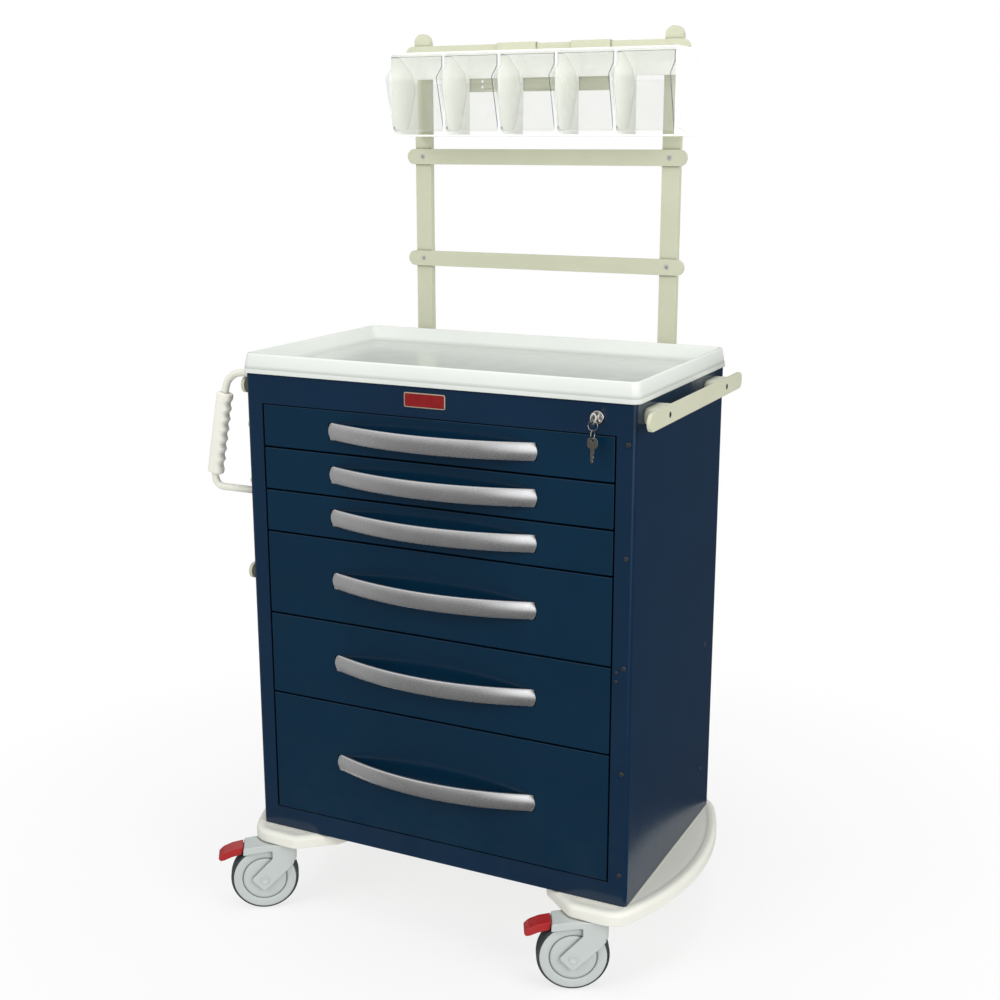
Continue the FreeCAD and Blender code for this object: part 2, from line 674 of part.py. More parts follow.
def brake_pedal():
    """Foot pedal hinged at the end of the fork's hood, with its hub between the cheeks."""
    outline = [
        (-84.5, 127.2), (-100, 122.5), (-114, 116.5), (-122, 111), (-124, 107.5), (-121, 104),
        (-116, 103.5), (-100, 110.5), (-86.5, 115.5),
    ]
    pedal = prism_xz(outline, -15.2, 15.2)
    flat = [e for e in pedal.Edges if e.BoundBox.YLength > 30]
    pedal = pedal.makeFillet(1.0, flat)
    ends = [Vector(PEDAL_PIVOT.x, y, PEDAL_PIVOT.z) for y in (-15.2, 15.2)]
    hub = rod(4.6, ends[0], ends[1])
    web = box(PEDAL_PIVOT.x - 8, PEDAL_PIVOT.x, -15.2, 15.2, PEDAL_PIVOT.z - 3.2, PEDAL_PIVOT.z + 3.6)
    bore = rod(2.0 + RUNNING, ends[0].sub(Vector(0, 5, 0)), ends[1].add(Vector(0, 5, 0)))
    return fuse([pedal, hub, web]).cut(bore)


# ---------------------------------------------------------------- rear bridge
def rear_post(x):
    """Hollow flat post with a domed top."""
    wall = 1.5
    front = bar_face(POST_W / 2, POST_TOP - POST_BOTTOM, POST_W / 2 - 0.5)
    core = bar_face(POST_W / 2 - wall, POST_TOP - POST_BOTTOM - 2 * wall, POST_W / 2 - 0.5 - wall)
    zc = (POST_TOP + POST_BOTTOM) / 2
    front.translate(Vector(x, POST_FRONT, zc))
    core.translate(Vector(x, POST_FRONT + wall, zc))
    solid = front.extrude(Vector(0, POST_DEPTH, 0))
    return solid.cut(core.extrude(Vector(0, POST_DEPTH, 0)))


def accessory_rails():
    """Three flat rails across the posts."""
    rails = []
    for level in RAIL_LEVELS:
        rails.append(bar_x(
            -RAIL_HALF_L, RAIL_HALF_L, POST_FRONT - RAIL_T, POST_FRONT, level, RAIL_H, RAIL_H / 2,
        ))
    return rails


def side_rails():
    """One long flat rail on the right side and two shorter ones on the left."""
    face, inner = SIDE_RAIL_FACE, SIDE_RAIL_FACE - SIDE_RAIL_T
    rails = [bar_y(inner, face, -237.5, 237.5, 983.0, RAIL_H, RAIL_H / 2)]
    for level in (979.0, 635.0):
        rails.append(bar_y(-face, -inner, -191.5, 191.5, level, RAIL_H, RAIL_H / 2))
    return rails


def stand_offs():
    """Blocks behind the side rails and the posts, and two round bumpers on the left side."""
    side, inner = CABINET_HALF_W, SIDE_RAIL_FACE - SIDE_RAIL_T
    blocks = []
    for y in (-SIDE_SCREW_Y, SIDE_SCREW_Y):
        blocks.append(bar_y(side, inner, y - 37, y + 37, 983.0, 26.0, 12.0))
    for y in (-120.0, 120.0):
        for level in (979.0, 635.0):
            blocks.append(bar_y(-inner, -side, y - 37, y + 37, level, 26.0, 12.0))
    for x in (-POST_X, POST_X):
        for level in (600.0, 790.0, 965.0):
            blocks.append(box(x - 15, x + 15, CABINET_BACK + BOX_SHEET, POST_FRONT, level - 20, level + 20))
    for level in (913.0, 812.0):
        bumper = rod(6.0, Vector(-side - 8, -200.0, level), Vector(-side, -200.0, level))
        outer_rim = [e for e in bumper.Edges if e.BoundBox.XMax < -side - 7]
        blocks.append(bumper.makeFillet(1.5, outer_rim))
    return blocks


# ---------------------------------------------------------------- push handle
def handle_points():
    """Corner points of the push handle tube."""
    side = -CABINET_HALF_W
    return [
        Vector(side, HANDLE_Y, 1001.0), Vector(-423.0, HANDLE_Y, 1001.0),
        Vector(-471.0, HANDLE_Y, 789.0), Vector(side, HANDLE_Y, 789.0),
    ]


def push_handle_tube():
    """Bent round tube with a flange where its lower leg meets the cabinet side."""
    path = bent_path(handle_points(), [38.0, 18.0])
    start = path.Edges[0].Vertexes[0].Point
    ring = Part.Wire([Part.makeCircle(HANDLE_R, start, Vector(-1, 0, 0))])
    tube = path.makePipeShell([ring], True, False)
    foot = handle_points()[-1]
    flange = rod(12.5, foot, foot.sub(Vector(3, 0, 0)))
    return tube.fuse(flange).removeSplitter()


def push_handle_grip():
    """Oval moulded grip on the slanting run of the tube, with finger hollows facing the cabinet."""
    _a, upper, lower, _d = handle_points()
    down = lower.sub(upper).normalize()
    length = 152.0
    start = upper.add(Vector(down).multiply(39.0))
    ellipse = Part.Ellipse(Vector(0, 0, 0), 15.0, 11.5).toShape()
    body = Part.Face(Part.Wire([ellipse])).extrude(Vector(0, 0, length))
    body = body.makeFillet(3.0, [e for e in body.Edges if e.Closed and e.BoundBox.ZLength < 1e-6])
    hollows = []
    count = 7
    for i in range(count):
        z = length * (i + 1) / (count + 1)
        hollows.append(rod(9.0, Vector(20.2, -20, z), Vector(20.2, 20, z)))
    body = body.cut(hollows)
    body = body.cut(Part.makeCylinder(HANDLE_R + RUNNING, length + 2, Vector(0, 0, -1)))
    body.rotate(Vector(0, 0, 0), Y_AXIS, 180 + math.degrees(math.atan2(-down.x, -down.z)))
    body.translate(start)
    return body


# ---------------------------------------------------------------- tilt bins
def bay_edges():
    """Left and right inner faces of each bay of the bin housing."""
    pitch = (BIN_RIGHT - BIN_LEFT - BIN_WALL) / BIN_COUNT
    return [
        (BIN_LEFT + BIN_WALL + i * pitch, BIN_LEFT + (i + 1) * pitch) for i in range(BIN_COUNT)
    ]


def bin_housing():
    """Open-fronted housing with five bays and a back band that has a keyhole slot."""
    body = box(BIN_LEFT, BIN_RIGHT, BIN_FRONT, BIN_BACK, BIN_BOTTOM, BIN_TOP)
    cuts = []
    for x0, x1 in bay_edges():
        bay = box(x0, x1, BIN_FRONT - 1, BIN_BACK - BIN_WALL, BIN_BOTTOM + BIN_WALL, BIN_TOP - BIN_WALL)
        window = box(x0, x1, BIN_BACK - BIN_WALL - 1, BIN_BACK + 1, BIN_BOTTOM + BIN_WALL, 1511.0)
        cuts += [bay, window]
    pivot_l = Vector(BIN_LEFT - 1, BIN_PIVOT_Y, BIN_PIVOT_Z)
    pivot_r = Vector(BIN_RIGHT + 1, BIN_PIVOT_Y, BIN_PIVOT_Z)
    cuts.append(rod(2.0 + RUNNING, pivot_l, pivot_r))
    keyhole_x = -197.0
    for radius, level in ((2.2, 1544.0), (4.0, 1526.0)):
        cuts.append(rod(radius, Vector(keyhole_x, 210, level), Vector(keyhole_x, 225, level)))
    cuts.append(box(keyhole_x - 2.2, keyhole_x + 2.2, 210, 225, 1526.0, 1544.0))
    return body.cut(cuts).removeSplitter()


def bin_profile(wall):
    """Side outline of a tilt bin as (y, z) points, moved inwards by the wall thickness."""
    w = wall
    return [
        (BIN_FRONT + w, 1547.0 + w), (BIN_FRONT + w, 1529.0), (96.5 + 1.2 * w, 1509.0),
        (123.5 + w, 1416.0 + w), (178.0 - w, 1416.0 + w), (206.0 - w, 1490.0),
        (196.0 + w, 1520.0 + w), (150.0 + w, 1547.0 + w),
    ]


def tilt_bin(x0, x1):
    """Clear bin with a projecting front lip, open at its upper back, on two side pins."""
    gap, wall, pin_in = 0.8, 1.8, 1.3
    left, right = x0 + gap, x1 - gap
    body = prism_yz(bin_profile(0.0), left, right)
    body = body.cut(prism_yz(bin_profile(wall), left + wall, right - wall))
    pins = []
    for a, b in ((x0 - pin_in, left + 0.5), (right - 0.5, x1 + pin_in)):
        pins.append(rod(2.0, Vector(a, BIN_PIVOT_Y, BIN_PIVOT_Z), Vector(b, BIN_PIVOT_Y, BIN_PIVOT_Z)))
    return body.fuse(pins).removeSplitter()


def bin_hanger():
    """Plate behind the housing with two hooks over the top rail and two screw holes."""
    y0, y1 = BIN_BACK, BIN_BACK + 2.4
    plate = box(-150.0, 134.0, y0, y1, 1487.0, 1554.0)
    rail_top = RAIL_LEVELS[-1] + RAIL_H / 2
    pieces = [plate]
    for x0, x1 in ((-89.0, -11.0), (58.0, 134.0)):
        pieces.append(box(x0, x1, y0, y1, 1540.0, rail_top + 2.2))
        pieces.append(box(x0, x1, y0, POST_FRONT + 2.4, rail_top + 0.2, rail_top + 2.2))
        pieces.append(box(x0, x1, POST_FRONT + 0.4, POST_FRONT + 2.4, rail_top - 14, rail_top + 2.2))
    holes = [rod(2.5, Vector(-119, y0 - 1, z), Vector(-119, y1 + 1, z)) for z in (1496.0, 1506.0)]
    return fuse(pieces).cut(holes)


# ---------------------------------------------------------------- assembly
def build_cabinet(places, flush_places):
    save("cabinet_shell", drilled(cabinet_shell(), places))
    save("back_panel", drilled(back_panel(), places))
    save("inner_brackets", inner_brackets())
    save("name_plate", name_plate())
    save("worktop_tray", worktop_tray())
    save("base_skirt", base_skirt())
    save("base_frame", base_frame())
    save("side_rails", [drilled(rail, places, flush_places) for rail in side_rails()])
    save("stand_offs", [drilled(block, places, flush_places) for block in stand_offs()])
    save("push_handle_tube", push_handle_tube())
    save("push_handle_grip", push_handle_grip())


def build_drawers():
    fixed = []
    for number, (bottom, top) in enumerate(drawer_levels(), start=1):
        name = "drawer_%d" % number
        zc = bottom + BOX_LIFT + SLIDE_RISE
        save(name + "_box", [drawer_box(bottom, top)] + slide_inner(zc))
        save(name + "_front", drawer_front(bottom, top))
        save(name + "_pull", drawer_pull(bottom, top))
        save(name + "_slide_middle", slide_middle(zc))
        fixed += slide_outer(zc)
    save("slide_outer_members", fixed)


def build_lock():
    save("lock_housing", lock_housing())
    save("lock_plug", lock_plug())
    save("key_ring", key_ring())
    save("lock_bar", lock_bar())


def build_casters():
    for name in CASTER_TURN:
        braked = name.startswith("front")
        save("caster_%s_fork" % name, [place_caster(s, name) for s in caster_fork(braked)])
        save("caster_%s_wheel" % name, [place_caster(s, name) for s in caster_wheel()])
        if braked:
            save("caster_%s_pedal" % name, place_caster(brake_pedal(), name))


def build_bridge(places, flush_places):
    save("rear_posts", [drilled(rear_post(x), places, flush_places) for x in (-POST_X, POST_X)])
    save("accessory_rails", [drilled(rail, places, flush_places) for rail in accessory_rails()])
    save("bin_housing", bin_housing())
    save("bin_hanger", bin_hanger())
    for number, (x0, x1) in enumerate(bay_edges(), start=1):
        save("tilt_bin_%d" % number, tilt_bin(x0, x1))


def main():
    os.makedirs("parts", exist_ok=True)
    places = screw_places()
    flush_places = flush_screw_places()
    build_cabinet(places, flush_places)
    build_drawers()
    build_lock()
    build_casters()
    build_bridge(places, flush_places)
    save("screws", [screw(place) for place in places] + [flush_screw(place) for place in flush_places])


main()
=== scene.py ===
import json
import math

import bmesh
import bpy
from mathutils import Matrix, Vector


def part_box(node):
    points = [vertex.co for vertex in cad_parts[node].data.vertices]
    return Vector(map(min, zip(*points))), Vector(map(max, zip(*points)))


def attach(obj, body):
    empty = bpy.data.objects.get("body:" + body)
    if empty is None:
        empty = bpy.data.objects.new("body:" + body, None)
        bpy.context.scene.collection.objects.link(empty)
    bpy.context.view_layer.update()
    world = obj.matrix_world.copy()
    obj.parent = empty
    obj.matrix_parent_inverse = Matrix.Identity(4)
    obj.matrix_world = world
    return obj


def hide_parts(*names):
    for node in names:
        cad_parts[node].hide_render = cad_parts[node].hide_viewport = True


# Crash cart: looks of a six-drawer steel cart on a moulded base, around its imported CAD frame.
# Metres. +X is right seen from the front, +Y is back, +Z is up, and the floor is at Z 0.
# Outlines are drawn in millimetres, and the lifts front, side and level turn them into metres.

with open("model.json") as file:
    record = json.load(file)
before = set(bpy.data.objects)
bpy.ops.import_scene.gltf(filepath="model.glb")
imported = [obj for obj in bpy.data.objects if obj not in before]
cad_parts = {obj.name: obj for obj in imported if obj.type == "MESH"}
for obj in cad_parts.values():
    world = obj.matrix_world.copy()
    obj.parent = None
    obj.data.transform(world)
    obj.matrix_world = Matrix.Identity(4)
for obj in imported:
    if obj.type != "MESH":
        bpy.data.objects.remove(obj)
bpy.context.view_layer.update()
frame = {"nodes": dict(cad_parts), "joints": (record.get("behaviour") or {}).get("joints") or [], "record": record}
NODES = frame["nodes"]
JOINTS = {joint["name"]: joint for joint in frame["joints"]}
SLOT_OF = {part["node"]: part["material_slot"] for part in frame["record"]["subparts"]}
BODY_OF = {
    node: body for body, members in frame["record"]["behaviour"]["bodies"].items() for node in members
}
MM = 0.001
TRAY_FLOOR = next(mount for mount in frame["record"]["mounts"] if mount["name"] == "tray_floor")["pos_m"][2]


def box_mm(node):
    """Low and high corner of a CAD node in millimetres."""
    low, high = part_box(node)
    return [value / MM for value in low], [value / MM for value in high]


# ---------------------------------------------------------------- node helpers
def add(tree, kind, inputs=None, **settings):
    """New shader node with its settings and input values; a socket as a value is linked."""
    made = tree.nodes.new(kind)
    for key, value in settings.items():
        setattr(made, key, value)
    for key, value in (inputs or {}).items():
        socket = made.inputs[key]
        if isinstance(value, bpy.types.NodeSocket):
            tree.links.new(value, socket)
        else:
            socket.default_value = value
    return made


def math_node(tree, operation, a, b=0.0, clamp=False):
    """Result socket of one arithmetic step."""
    return add(tree, "ShaderNodeMath", {0: a, 1: b}, operation=operation, use_clamp=clamp).outputs[0]


def spread(tree, value, low, high, new_low, new_high):
    """Value mapped from one range to another and kept inside it."""
    sockets = {0: value, 1: low, 2: high, 3: new_low, 4: new_high}
    return add(tree, "ShaderNodeMapRange", sockets, clamp=True).outputs[0]


def place(tree, stretch=(1, 1, 1)):
    """Position on the part in metres, stretched along its axes."""
    coordinates = add(tree, "ShaderNodeTexCoord").outputs["Object"]
    return add(tree, "ShaderNodeMapping", {"Vector": coordinates, "Scale": stretch}).outputs[0]


def noise(tree, where, scale, detail=3.0):
    """Noise between 0 and 1 with a given number of features per metre."""
    sockets = {"Vector": where, "Scale": scale, "Detail": detail, "Roughness": 0.55}
    return add(tree, "ShaderNodeTexNoise", sockets).outputs["Fac"]


def blend_colours(tree, factor, first, second):
    """Colour between two colours or sockets."""
    mixer = add(tree, "ShaderNodeMix", data_type="RGBA")
    for key, value in ((0, factor), (6, first), (7, second)):
        if isinstance(value, bpy.types.NodeSocket):
            tree.links.new(value, mixer.inputs[key])
        else:
            mixer.inputs[key].default_value = value if key == 0 else (*value[:3], 1.0)
    return mixer.outputs[2]


def edge_mask(tree, radius):
    """(rounded normal, mask that is 1 along sharp edges and 0 on open faces)."""
    rounded = add(tree, "ShaderNodeBevel", {"Radius": radius}, samples=4).outputs[0]
    flat = add(tree, "ShaderNodeNewGeometry").outputs["Normal"]
    along = add(tree, "ShaderNodeVectorMath", {0: rounded, 1: flat}, operation="DOT_PRODUCT").outputs["Value"]
    return rounded, spread(tree, along, 0.995, 0.9, 0.0, 1.0)


def shade(colour, amount):
    """Colour made lighter or darker by a factor."""
    return tuple(min(1.0, c * amount) for c in colour)


DUST = (0.30, 0.29, 0.27)
DUST_TOP = 0.35
CREVICE_REACH = 7 * MM


def finish(
    name, colour, rough, metal=0.0, mottle=0.06, patch=7.0, uneven=0.08, grain=420.0, depth=0.04,
    stretch=(1, 1, 1), round_by=0.8, wear_and_highlight=0.3, worn_highlight_colour=None, shine=0.5, dirt=0.12, streaks=0.0, crevice_shade=0.62,
):
    """Surface with uneven colour and gloss, fine grain, worn edges lightened as a painted highlight, painted shade
    in crevices and dust low down.
    """
    material = bpy.data.materials.new(name)
    material.use_nodes = True
    tree = material.node_tree
    shader = tree.nodes["Principled BSDF"]
    where = place(tree)
    patches = spread(tree, noise(tree, where, patch), 0.3, 0.7, 0.0, 1.0)
    base = blend_colours(tree, patches, shade(colour, 1 - mottle), shade(colour, 1 + mottle))
    rounded, edges = edge_mask(tree, round_by * MM)
    # Edge wear and painted highlight: broken edges take a lighter copy of the colour and more roughness.
    broken = spread(tree, noise(tree, where, 90.0, 4.0), 0.42, 0.62, 0.0, 1.0)
    wear_and_highlight_mask = math_node(tree, "MULTIPLY", edges, math_node(tree, "MULTIPLY", broken, wear_and_highlight))
    base = blend_colours(tree, wear_and_highlight_mask, base, worn_highlight_colour or shade(colour, 1.5))
    height = add(tree, "ShaderNodeSeparateXYZ", {0: where}).outputs[2]
    low_down = spread(tree, height, 0.0, DUST_TOP, dirt, 0.0)
    settled = spread(tree, noise(tree, where, 25.0, 5.0), 0.35, 0.75, 0.0, 1.0)
    dust = math_node(tree, "MULTIPLY", low_down, settled)
    base = blend_colours(tree, dust, base, DUST)
    # Painted shade: the colour darkens towards a dark copy of itself in crevices and recesses found by ambient
    # occlusion.
    open_air = add(tree, "ShaderNodeAmbientOcclusion", {"Distance": CREVICE_REACH}, samples=6).outputs["AO"]
    painted_crevice_shade = spread(tree, open_air, 0.35, 0.85, crevice_shade, 0.0)
    base = blend_colours(tree, painted_crevice_shade, base, shade(colour, 0.18))
    tree.links.new(base, shader.inputs["Base Color"])
    cloud = spread(tree, noise(tree, where, 22.0, 5.0), 0.3, 0.7, rough - uneven / 2, rough + uneven / 2)
    gloss = math_node(tree, "ADD", cloud, math_node(tree, "MULTIPLY", dust, 0.5))
    gloss = math_node(tree, "ADD", gloss, math_node(tree, "MULTIPLY", wear_and_highlight_mask, 0.15), clamp=True)
    fine = noise(tree, place(tree, stretch), grain, 2.0)
    if streaks:
        gloss = math_node(tree, "ADD", gloss, spread(tree, fine, 0.3, 0.7, -streaks, streaks), clamp=True)
    tree.links.new(gloss, shader.inputs["Roughness"])
    bump = add(tree, "ShaderNodeBump", {
        "Strength": depth, "Distance": 0.5 * MM, "Height": fine, "Normal": rounded,
    }).outputs[0]
    tree.links.new(bump, shader.inputs["Normal"])
    shader.inputs["Metallic"].default_value = metal
    shader.inputs["Specular IOR Level"].default_value = shine
    return material


# ---------------------------------------------------------------- materials
NAVY = (0.0042, 0.0215, 0.0525)
TEAL = (0.0020, 0.0215, 0.0490)
CREAM = (0.60, 0.61, 0.46)
CASTER = (0.55, 0.59, 0.57)


def brushed_aluminium():
    """Satin aluminium brushed along X; its grain keeps the mesh's own smooth normal."""
    material = finish(
        "satin_aluminium", (0.66, 0.66, 0.67), 0.30, metal=0.85, mottle=0.03, patch=30.0, grain=1.0,
        depth=0.015, stretch=(220.0, 900.0, 900.0), wear_and_highlight=0.0, streaks=0.05, dirt=0.0, round_by=0.2, crevice_shade=0.0,
    )
    tree = material.node_tree
    bump = tree.nodes["Principled BSDF"].inputs["Normal"].links[0].from_node
    tree.links.remove(bump.inputs["Normal"].links[0])
    return material


def white_housing():
    """Thin white plastic with a faint painted glow that brightens it."""
    material = finish("white_housing", (0.88, 0.89, 0.86), 0.25, mottle=0.02, depth=0.02, crevice_shade=0.0)
    shader = material.node_tree.nodes["Principled BSDF"]
    # Painted glow: a weak emission lightens the housing, though it is no lamp.
    shader.inputs["Emission Color"].default_value = (1.0, 1.0, 0.97, 1)
    shader.inputs["Emission Strength"].default_value = 0.16
    return material


def white_tray():
    """White moulded plastic, with painted shade greying the tray's floor and the foot of its walls."""
    material = finish("white_tray", (0.78, 0.81, 0.77), 0.2, mottle=0.02, depth=0.02, round_by=1.5)
    tree = material.node_tree
    shader = tree.nodes["Principled BSDF"]
    tray_colour = shader.inputs["Base Color"].links[0].from_socket
    height = add(tree, "ShaderNodeSeparateXYZ", {0: place(tree)}).outputs[2]
    # Painted shade: the tray's floor and the foot of its walls are greyed.
    painted_floor_shade = spread(tree, height, TRAY_FLOOR + 0.2 * MM, TRAY_FLOOR + 6 * MM, 0.72, 0.0)
    not_below = math_node(tree, "GREATER_THAN", height, TRAY_FLOOR - 0.5 * MM)
    painted_floor_shade = math_node(tree, "MULTIPLY", painted_floor_shade, not_below)
    tree.links.new(blend_colours(tree, painted_floor_shade, tray_colour, (0.47, 0.51, 0.47)), shader.inputs["Base Color"])
    return material


def screw_steel():
    """Zinc screws: pale on the posts and their rails, dark blackened ones lower down."""
    post_screws_from = 1.05
    material = finish(
        "screw_steel", (0.60, 0.61, 0.60), 0.35, metal=0.35, mottle=0.1, patch=200.0, round_by=0.3, dirt=0.0
    )
    tree = material.node_tree
    shader = tree.nodes["Principled BSDF"]
    pale = shader.inputs["Base Color"].links[0].from_socket
    apart = add(tree, "ShaderNodeSeparateXYZ", {0: place(tree)})
    above = math_node(tree, "GREATER_THAN", apart.outputs[2], post_screws_from)
    tree.links.new(blend_colours(tree, above, (0.05, 0.055, 0.06), pale), shader.inputs["Base Color"])
    return material


def clear_plastic(name, haze_low, haze_high, tint, edge_haze, back_share=1.0):
    """Thin clear plastic: milky haze, stronger seen on edge and scaled at the back, and soft reflections."""
    fade_from, fade_to = 0.125, 0.15
    material = bpy.data.materials.new(name)
    material.use_nodes = True
    tree = material.node_tree
    tree.nodes.remove(tree.nodes["Principled BSDF"])
    where = place(tree)
    facing = add(tree, "ShaderNodeLayerWeight", {"Blend": 0.5}).outputs["Facing"]
    grazing = math_node(tree, "POWER", facing, 4.0)
    cloud = spread(tree, noise(tree, where, 14.0, 4.0), 0.3, 0.7, haze_low, haze_high)
    amount = math_node(tree, "ADD", cloud, math_node(tree, "MULTIPLY", grazing, edge_haze), clamp=True)
    depth = add(tree, "ShaderNodeSeparateXYZ", {0: where}).outputs[1]
    amount = math_node(tree, "MULTIPLY", amount, spread(tree, depth, fade_from, fade_to, 1.0, back_share))
    clear = add(tree, "ShaderNodeBsdfTransparent", {"Color": (0.988, 0.990, 0.984, 1)}).outputs[0]
    milk = add(tree, "ShaderNodeBsdfTranslucent", {"Color": (*tint, 1)}).outputs[0]
    matt = add(tree, "ShaderNodeBsdfDiffuse", {"Color": (*tint, 1)}).outputs[0]
    glow = add(tree, "ShaderNodeMixShader", {0: 0.6, 1: milk, 2: matt}).outputs[0]
    body = add(tree, "ShaderNodeMixShader", {0: amount, 1: clear, 2: glow}).outputs[0]
    bump = add(tree, "ShaderNodeBump", {
        "Strength": 0.05, "Distance": 1 * MM, "Height": noise(tree, where, 60.0),
    }).outputs[0]
    rough = spread(tree, noise(tree, where, 35.0), 0.3, 0.7, 0.05, 0.14)
    gloss = add(tree, "ShaderNodeBsdfGlossy", {"Roughness": rough, "Normal": bump}).outputs[0]
    mirror = math_node(tree, "ADD", math_node(tree, "MULTIPLY", grazing, 0.12), 0.02)
    whole = add(tree, "ShaderNodeMixShader", {0: mirror, 1: body, 2: gloss}).outputs[0]
    tree.links.new(whole, tree.nodes["Material Output"].inputs["Surface"])
    return material


def make_materials():
    """One material for each slot of the record, and three more for bin rims, tyres and the plate's border."""
    return {
        "cabinet_blue": finish(
            "cabinet_blue", NAVY, 0.2, uneven=0.06, depth=0.05, worn_highlight_colour=(0.05, 0.08, 0.14), shine=0.42, dirt=0.03
        ),
        "drawer_blue": finish(
            "drawer_blue", TEAL, 0.2, uneven=0.06, depth=0.05, worn_highlight_colour=(0.04, 0.09, 0.13), shine=0.36, dirt=0.03
        ),
        "satin_aluminium": brushed_aluminium(),
        "zinc_steel": finish(
            "zinc_steel", (0.50, 0.51, 0.53), 0.4, metal=0.35, mottle=0.08, patch=60.0, grain=300.0
        ),
        "white_tray": white_tray(),
        "ivory_base": finish(
            "ivory_base", (0.82, 0.82, 0.74), 0.38, mottle=0.03, grain=1400.0, depth=0.06, dirt=0.03
        ),
        "cream_paint": finish("cream_paint", CREAM, 0.36, mottle=0.03, grain=600.0, depth=0.05),
        "cream_plastic": finish(
            "cream_plastic", (0.66, 0.67, 0.54), 0.4, mottle=0.04, grain=1200.0, depth=0.06
        ),
        "ivory_handle": finish("ivory_handle", (0.80, 0.79, 0.70), 0.25, mottle=0.03, depth=0.03),
        "ivory_grip": finish("ivory_grip", (0.82, 0.81, 0.73), 0.5, mottle=0.03, grain=1800.0, depth=0.1),
        "white_housing": white_housing(),
        "clear_bin": clear_plastic("clear_bin", 0.02, 0.07, (0.97, 0.975, 0.96), 0.16),
        # Bin rims: painted shade, a dark grey-blue haze that draws dark lines along the clear plastic's edges.
        "clear_rim_painted_shade": clear_plastic("clear_rim_painted_shade", 0.55, 0.8, (0.16, 0.17, 0.25), 0.1, back_share=0.2),
        "tyre": finish(
            "tyre", (0.018, 0.030, 0.036), 0.55, mottle=0.15, patch=40.0, grain=900.0, depth=0.1, dirt=0.25
        ),
        "plate_border": finish(
            "plate_border", (0.72, 0.62, 0.45), 0.3, metal=0.6, mottle=0.06, patch=80.0, dirt=0.0
        ),
        "screw_steel": screw_steel(),
        "lock_chrome": finish(
            "lock_chrome", (0.78, 0.77, 0.75), 0.12, metal=1.0, mottle=0.05, patch=150.0, depth=0.03
        ),
        "key_nickel": finish(
            "key_nickel", (0.68, 0.64, 0.55), 0.24, metal=1.0, mottle=0.1, patch=150.0, round_by=0.3
        ),
        "red_plate": finish("red_plate", (0.24, 0.010, 0.012), 0.2, mottle=0.12, patch=60.0, depth=0.03),
        "caster_grey": finish("caster_grey", CASTER, 0.36, mottle=0.03, grain=1400.0, depth=0.06, dirt=0.05),
        "wheel_grey": finish("wheel_grey", CASTER, 0.34, mottle=0.03, grain=1400.0, depth=0.05, dirt=0.05),
        "pedal_red": finish("pedal_red", (0.42, 0.012, 0.014), 0.28, mottle=0.08, grain=900.0, depth=0.05),
    }


MATERIALS = make_materials()


# ---------------------------------------------------------------- mesh helpers
def front(a, b, depth):
    """Outline drawn in the XZ plane, depth along Y."""
    return Vector((a, depth, b)) * MM


def side(a, b, depth):
    """Outline drawn in the YZ plane, depth along X."""
    return Vector((depth, a, b)) * MM


def level(a, b, depth):
    """Outline drawn in the XY plane, depth along Z."""
    return Vector((a, b, depth)) * MM


def rounded(corners, steps=6):
    """Outline through (x, y, radius) corners with each corner turned by an arc."""
    points = []
    count = len(corners)
    for i, (x, y, radius) in enumerate(corners):
        here = Vector((x, y))
        back = (Vector(corners[i - 1][:2]) - here).normalized()
        ahead = (Vector(corners[(i + 1) % count][:2]) - here).normalized()
        if radius <= 0:
            points.append((x, y))
            continue
        half = back.angle(ahead) / 2
        centre = here + (back + ahead).normalized() * radius / math.sin(half)
        start = here + back * radius / math.tan(half) - centre
        end = here + ahead * radius / math.tan(half) - centre
        turn = start.angle_signed(end)
        for k in range(steps + 1):
            angle = -turn * k / steps
            c, s = math.cos(angle), math.sin(angle)
            points.append((centre.x + start.x * c - start.y * s, centre.y + start.x * s + start.y * c))
    return points


def slab(bm, outline, low, high, lift):
    """Closed prism of an outline between two depths."""
    rings = [[bm.verts.new(lift(a, b, depth)) for a, b in outline] for depth in (low, high)]
    skin(bm, rings)


def skin(bm, rings):
    """Quads between neighbouring rings, with flat caps on the first and last ring."""
    for near, far in zip(rings, rings[1:]):
        for i in range(len(near)):
            j = (i + 1) % len(near)
            bm.faces.new((near[i], near[j], far[j], far[i]))
    bm.faces.new(rings[0][::-1])
    bm.faces.new(rings[-1])


def lathe(bm, profile, lift, steps, paint=None):
    """Solid turned about an axis from a closed loop of (radius, height) points; paint picks a face's slot."""
    rings = []
    for k in range(steps):
        c, s = math.cos(2 * math.pi * k / steps), math.sin(2 * math.pi * k / steps)
        rings.append([bm.verts.new(lift(r * c, r * s, h)) for r, h in profile])
    for k, ring in enumerate(rings):
        after = rings[(k + 1) % steps]
        for i in range(len(profile)):
            j = (i + 1) % len(profile)
            face = bm.faces.new((ring[i], ring[j], after[j], after[i]))
            if paint:
                face.material_index = paint((profile[i][0] + profile[j][0]) / 2)


def sweep(bm, path, section, up):
    """Section of (a, b) points carried along a path in metres; up is square to the path's plane."""
    rings = []
    for i, point in enumerate(path):
        before, after = path[max(i - 1, 0)], path[min(i + 1, len(path) - 1)]
        across = (after - before).normalized().cross(up).normalized()
        rings.append([bm.verts.new(point + across * a * MM + up * b * MM) for a, b in section])
    skin(bm, rings)


def circle(radius, steps):
    """Outline of a circle."""
    turns = [2 * math.pi * k / steps for k in range(steps)]
    return [(radius * math.cos(t), radius * math.sin(t)) for t in turns]


def bar(half_length, height, radius, centre):
    """Outline of a flat bar with rounded ends."""
    a, c, r = half_length, height / 2, min(radius, height / 2 - 0.05)
    x, y = centre
    return rounded([(x - a, y - c, r), (x + a, y - c, r), (x + a, y + c, r), (x - a, y + c, r)], 8)


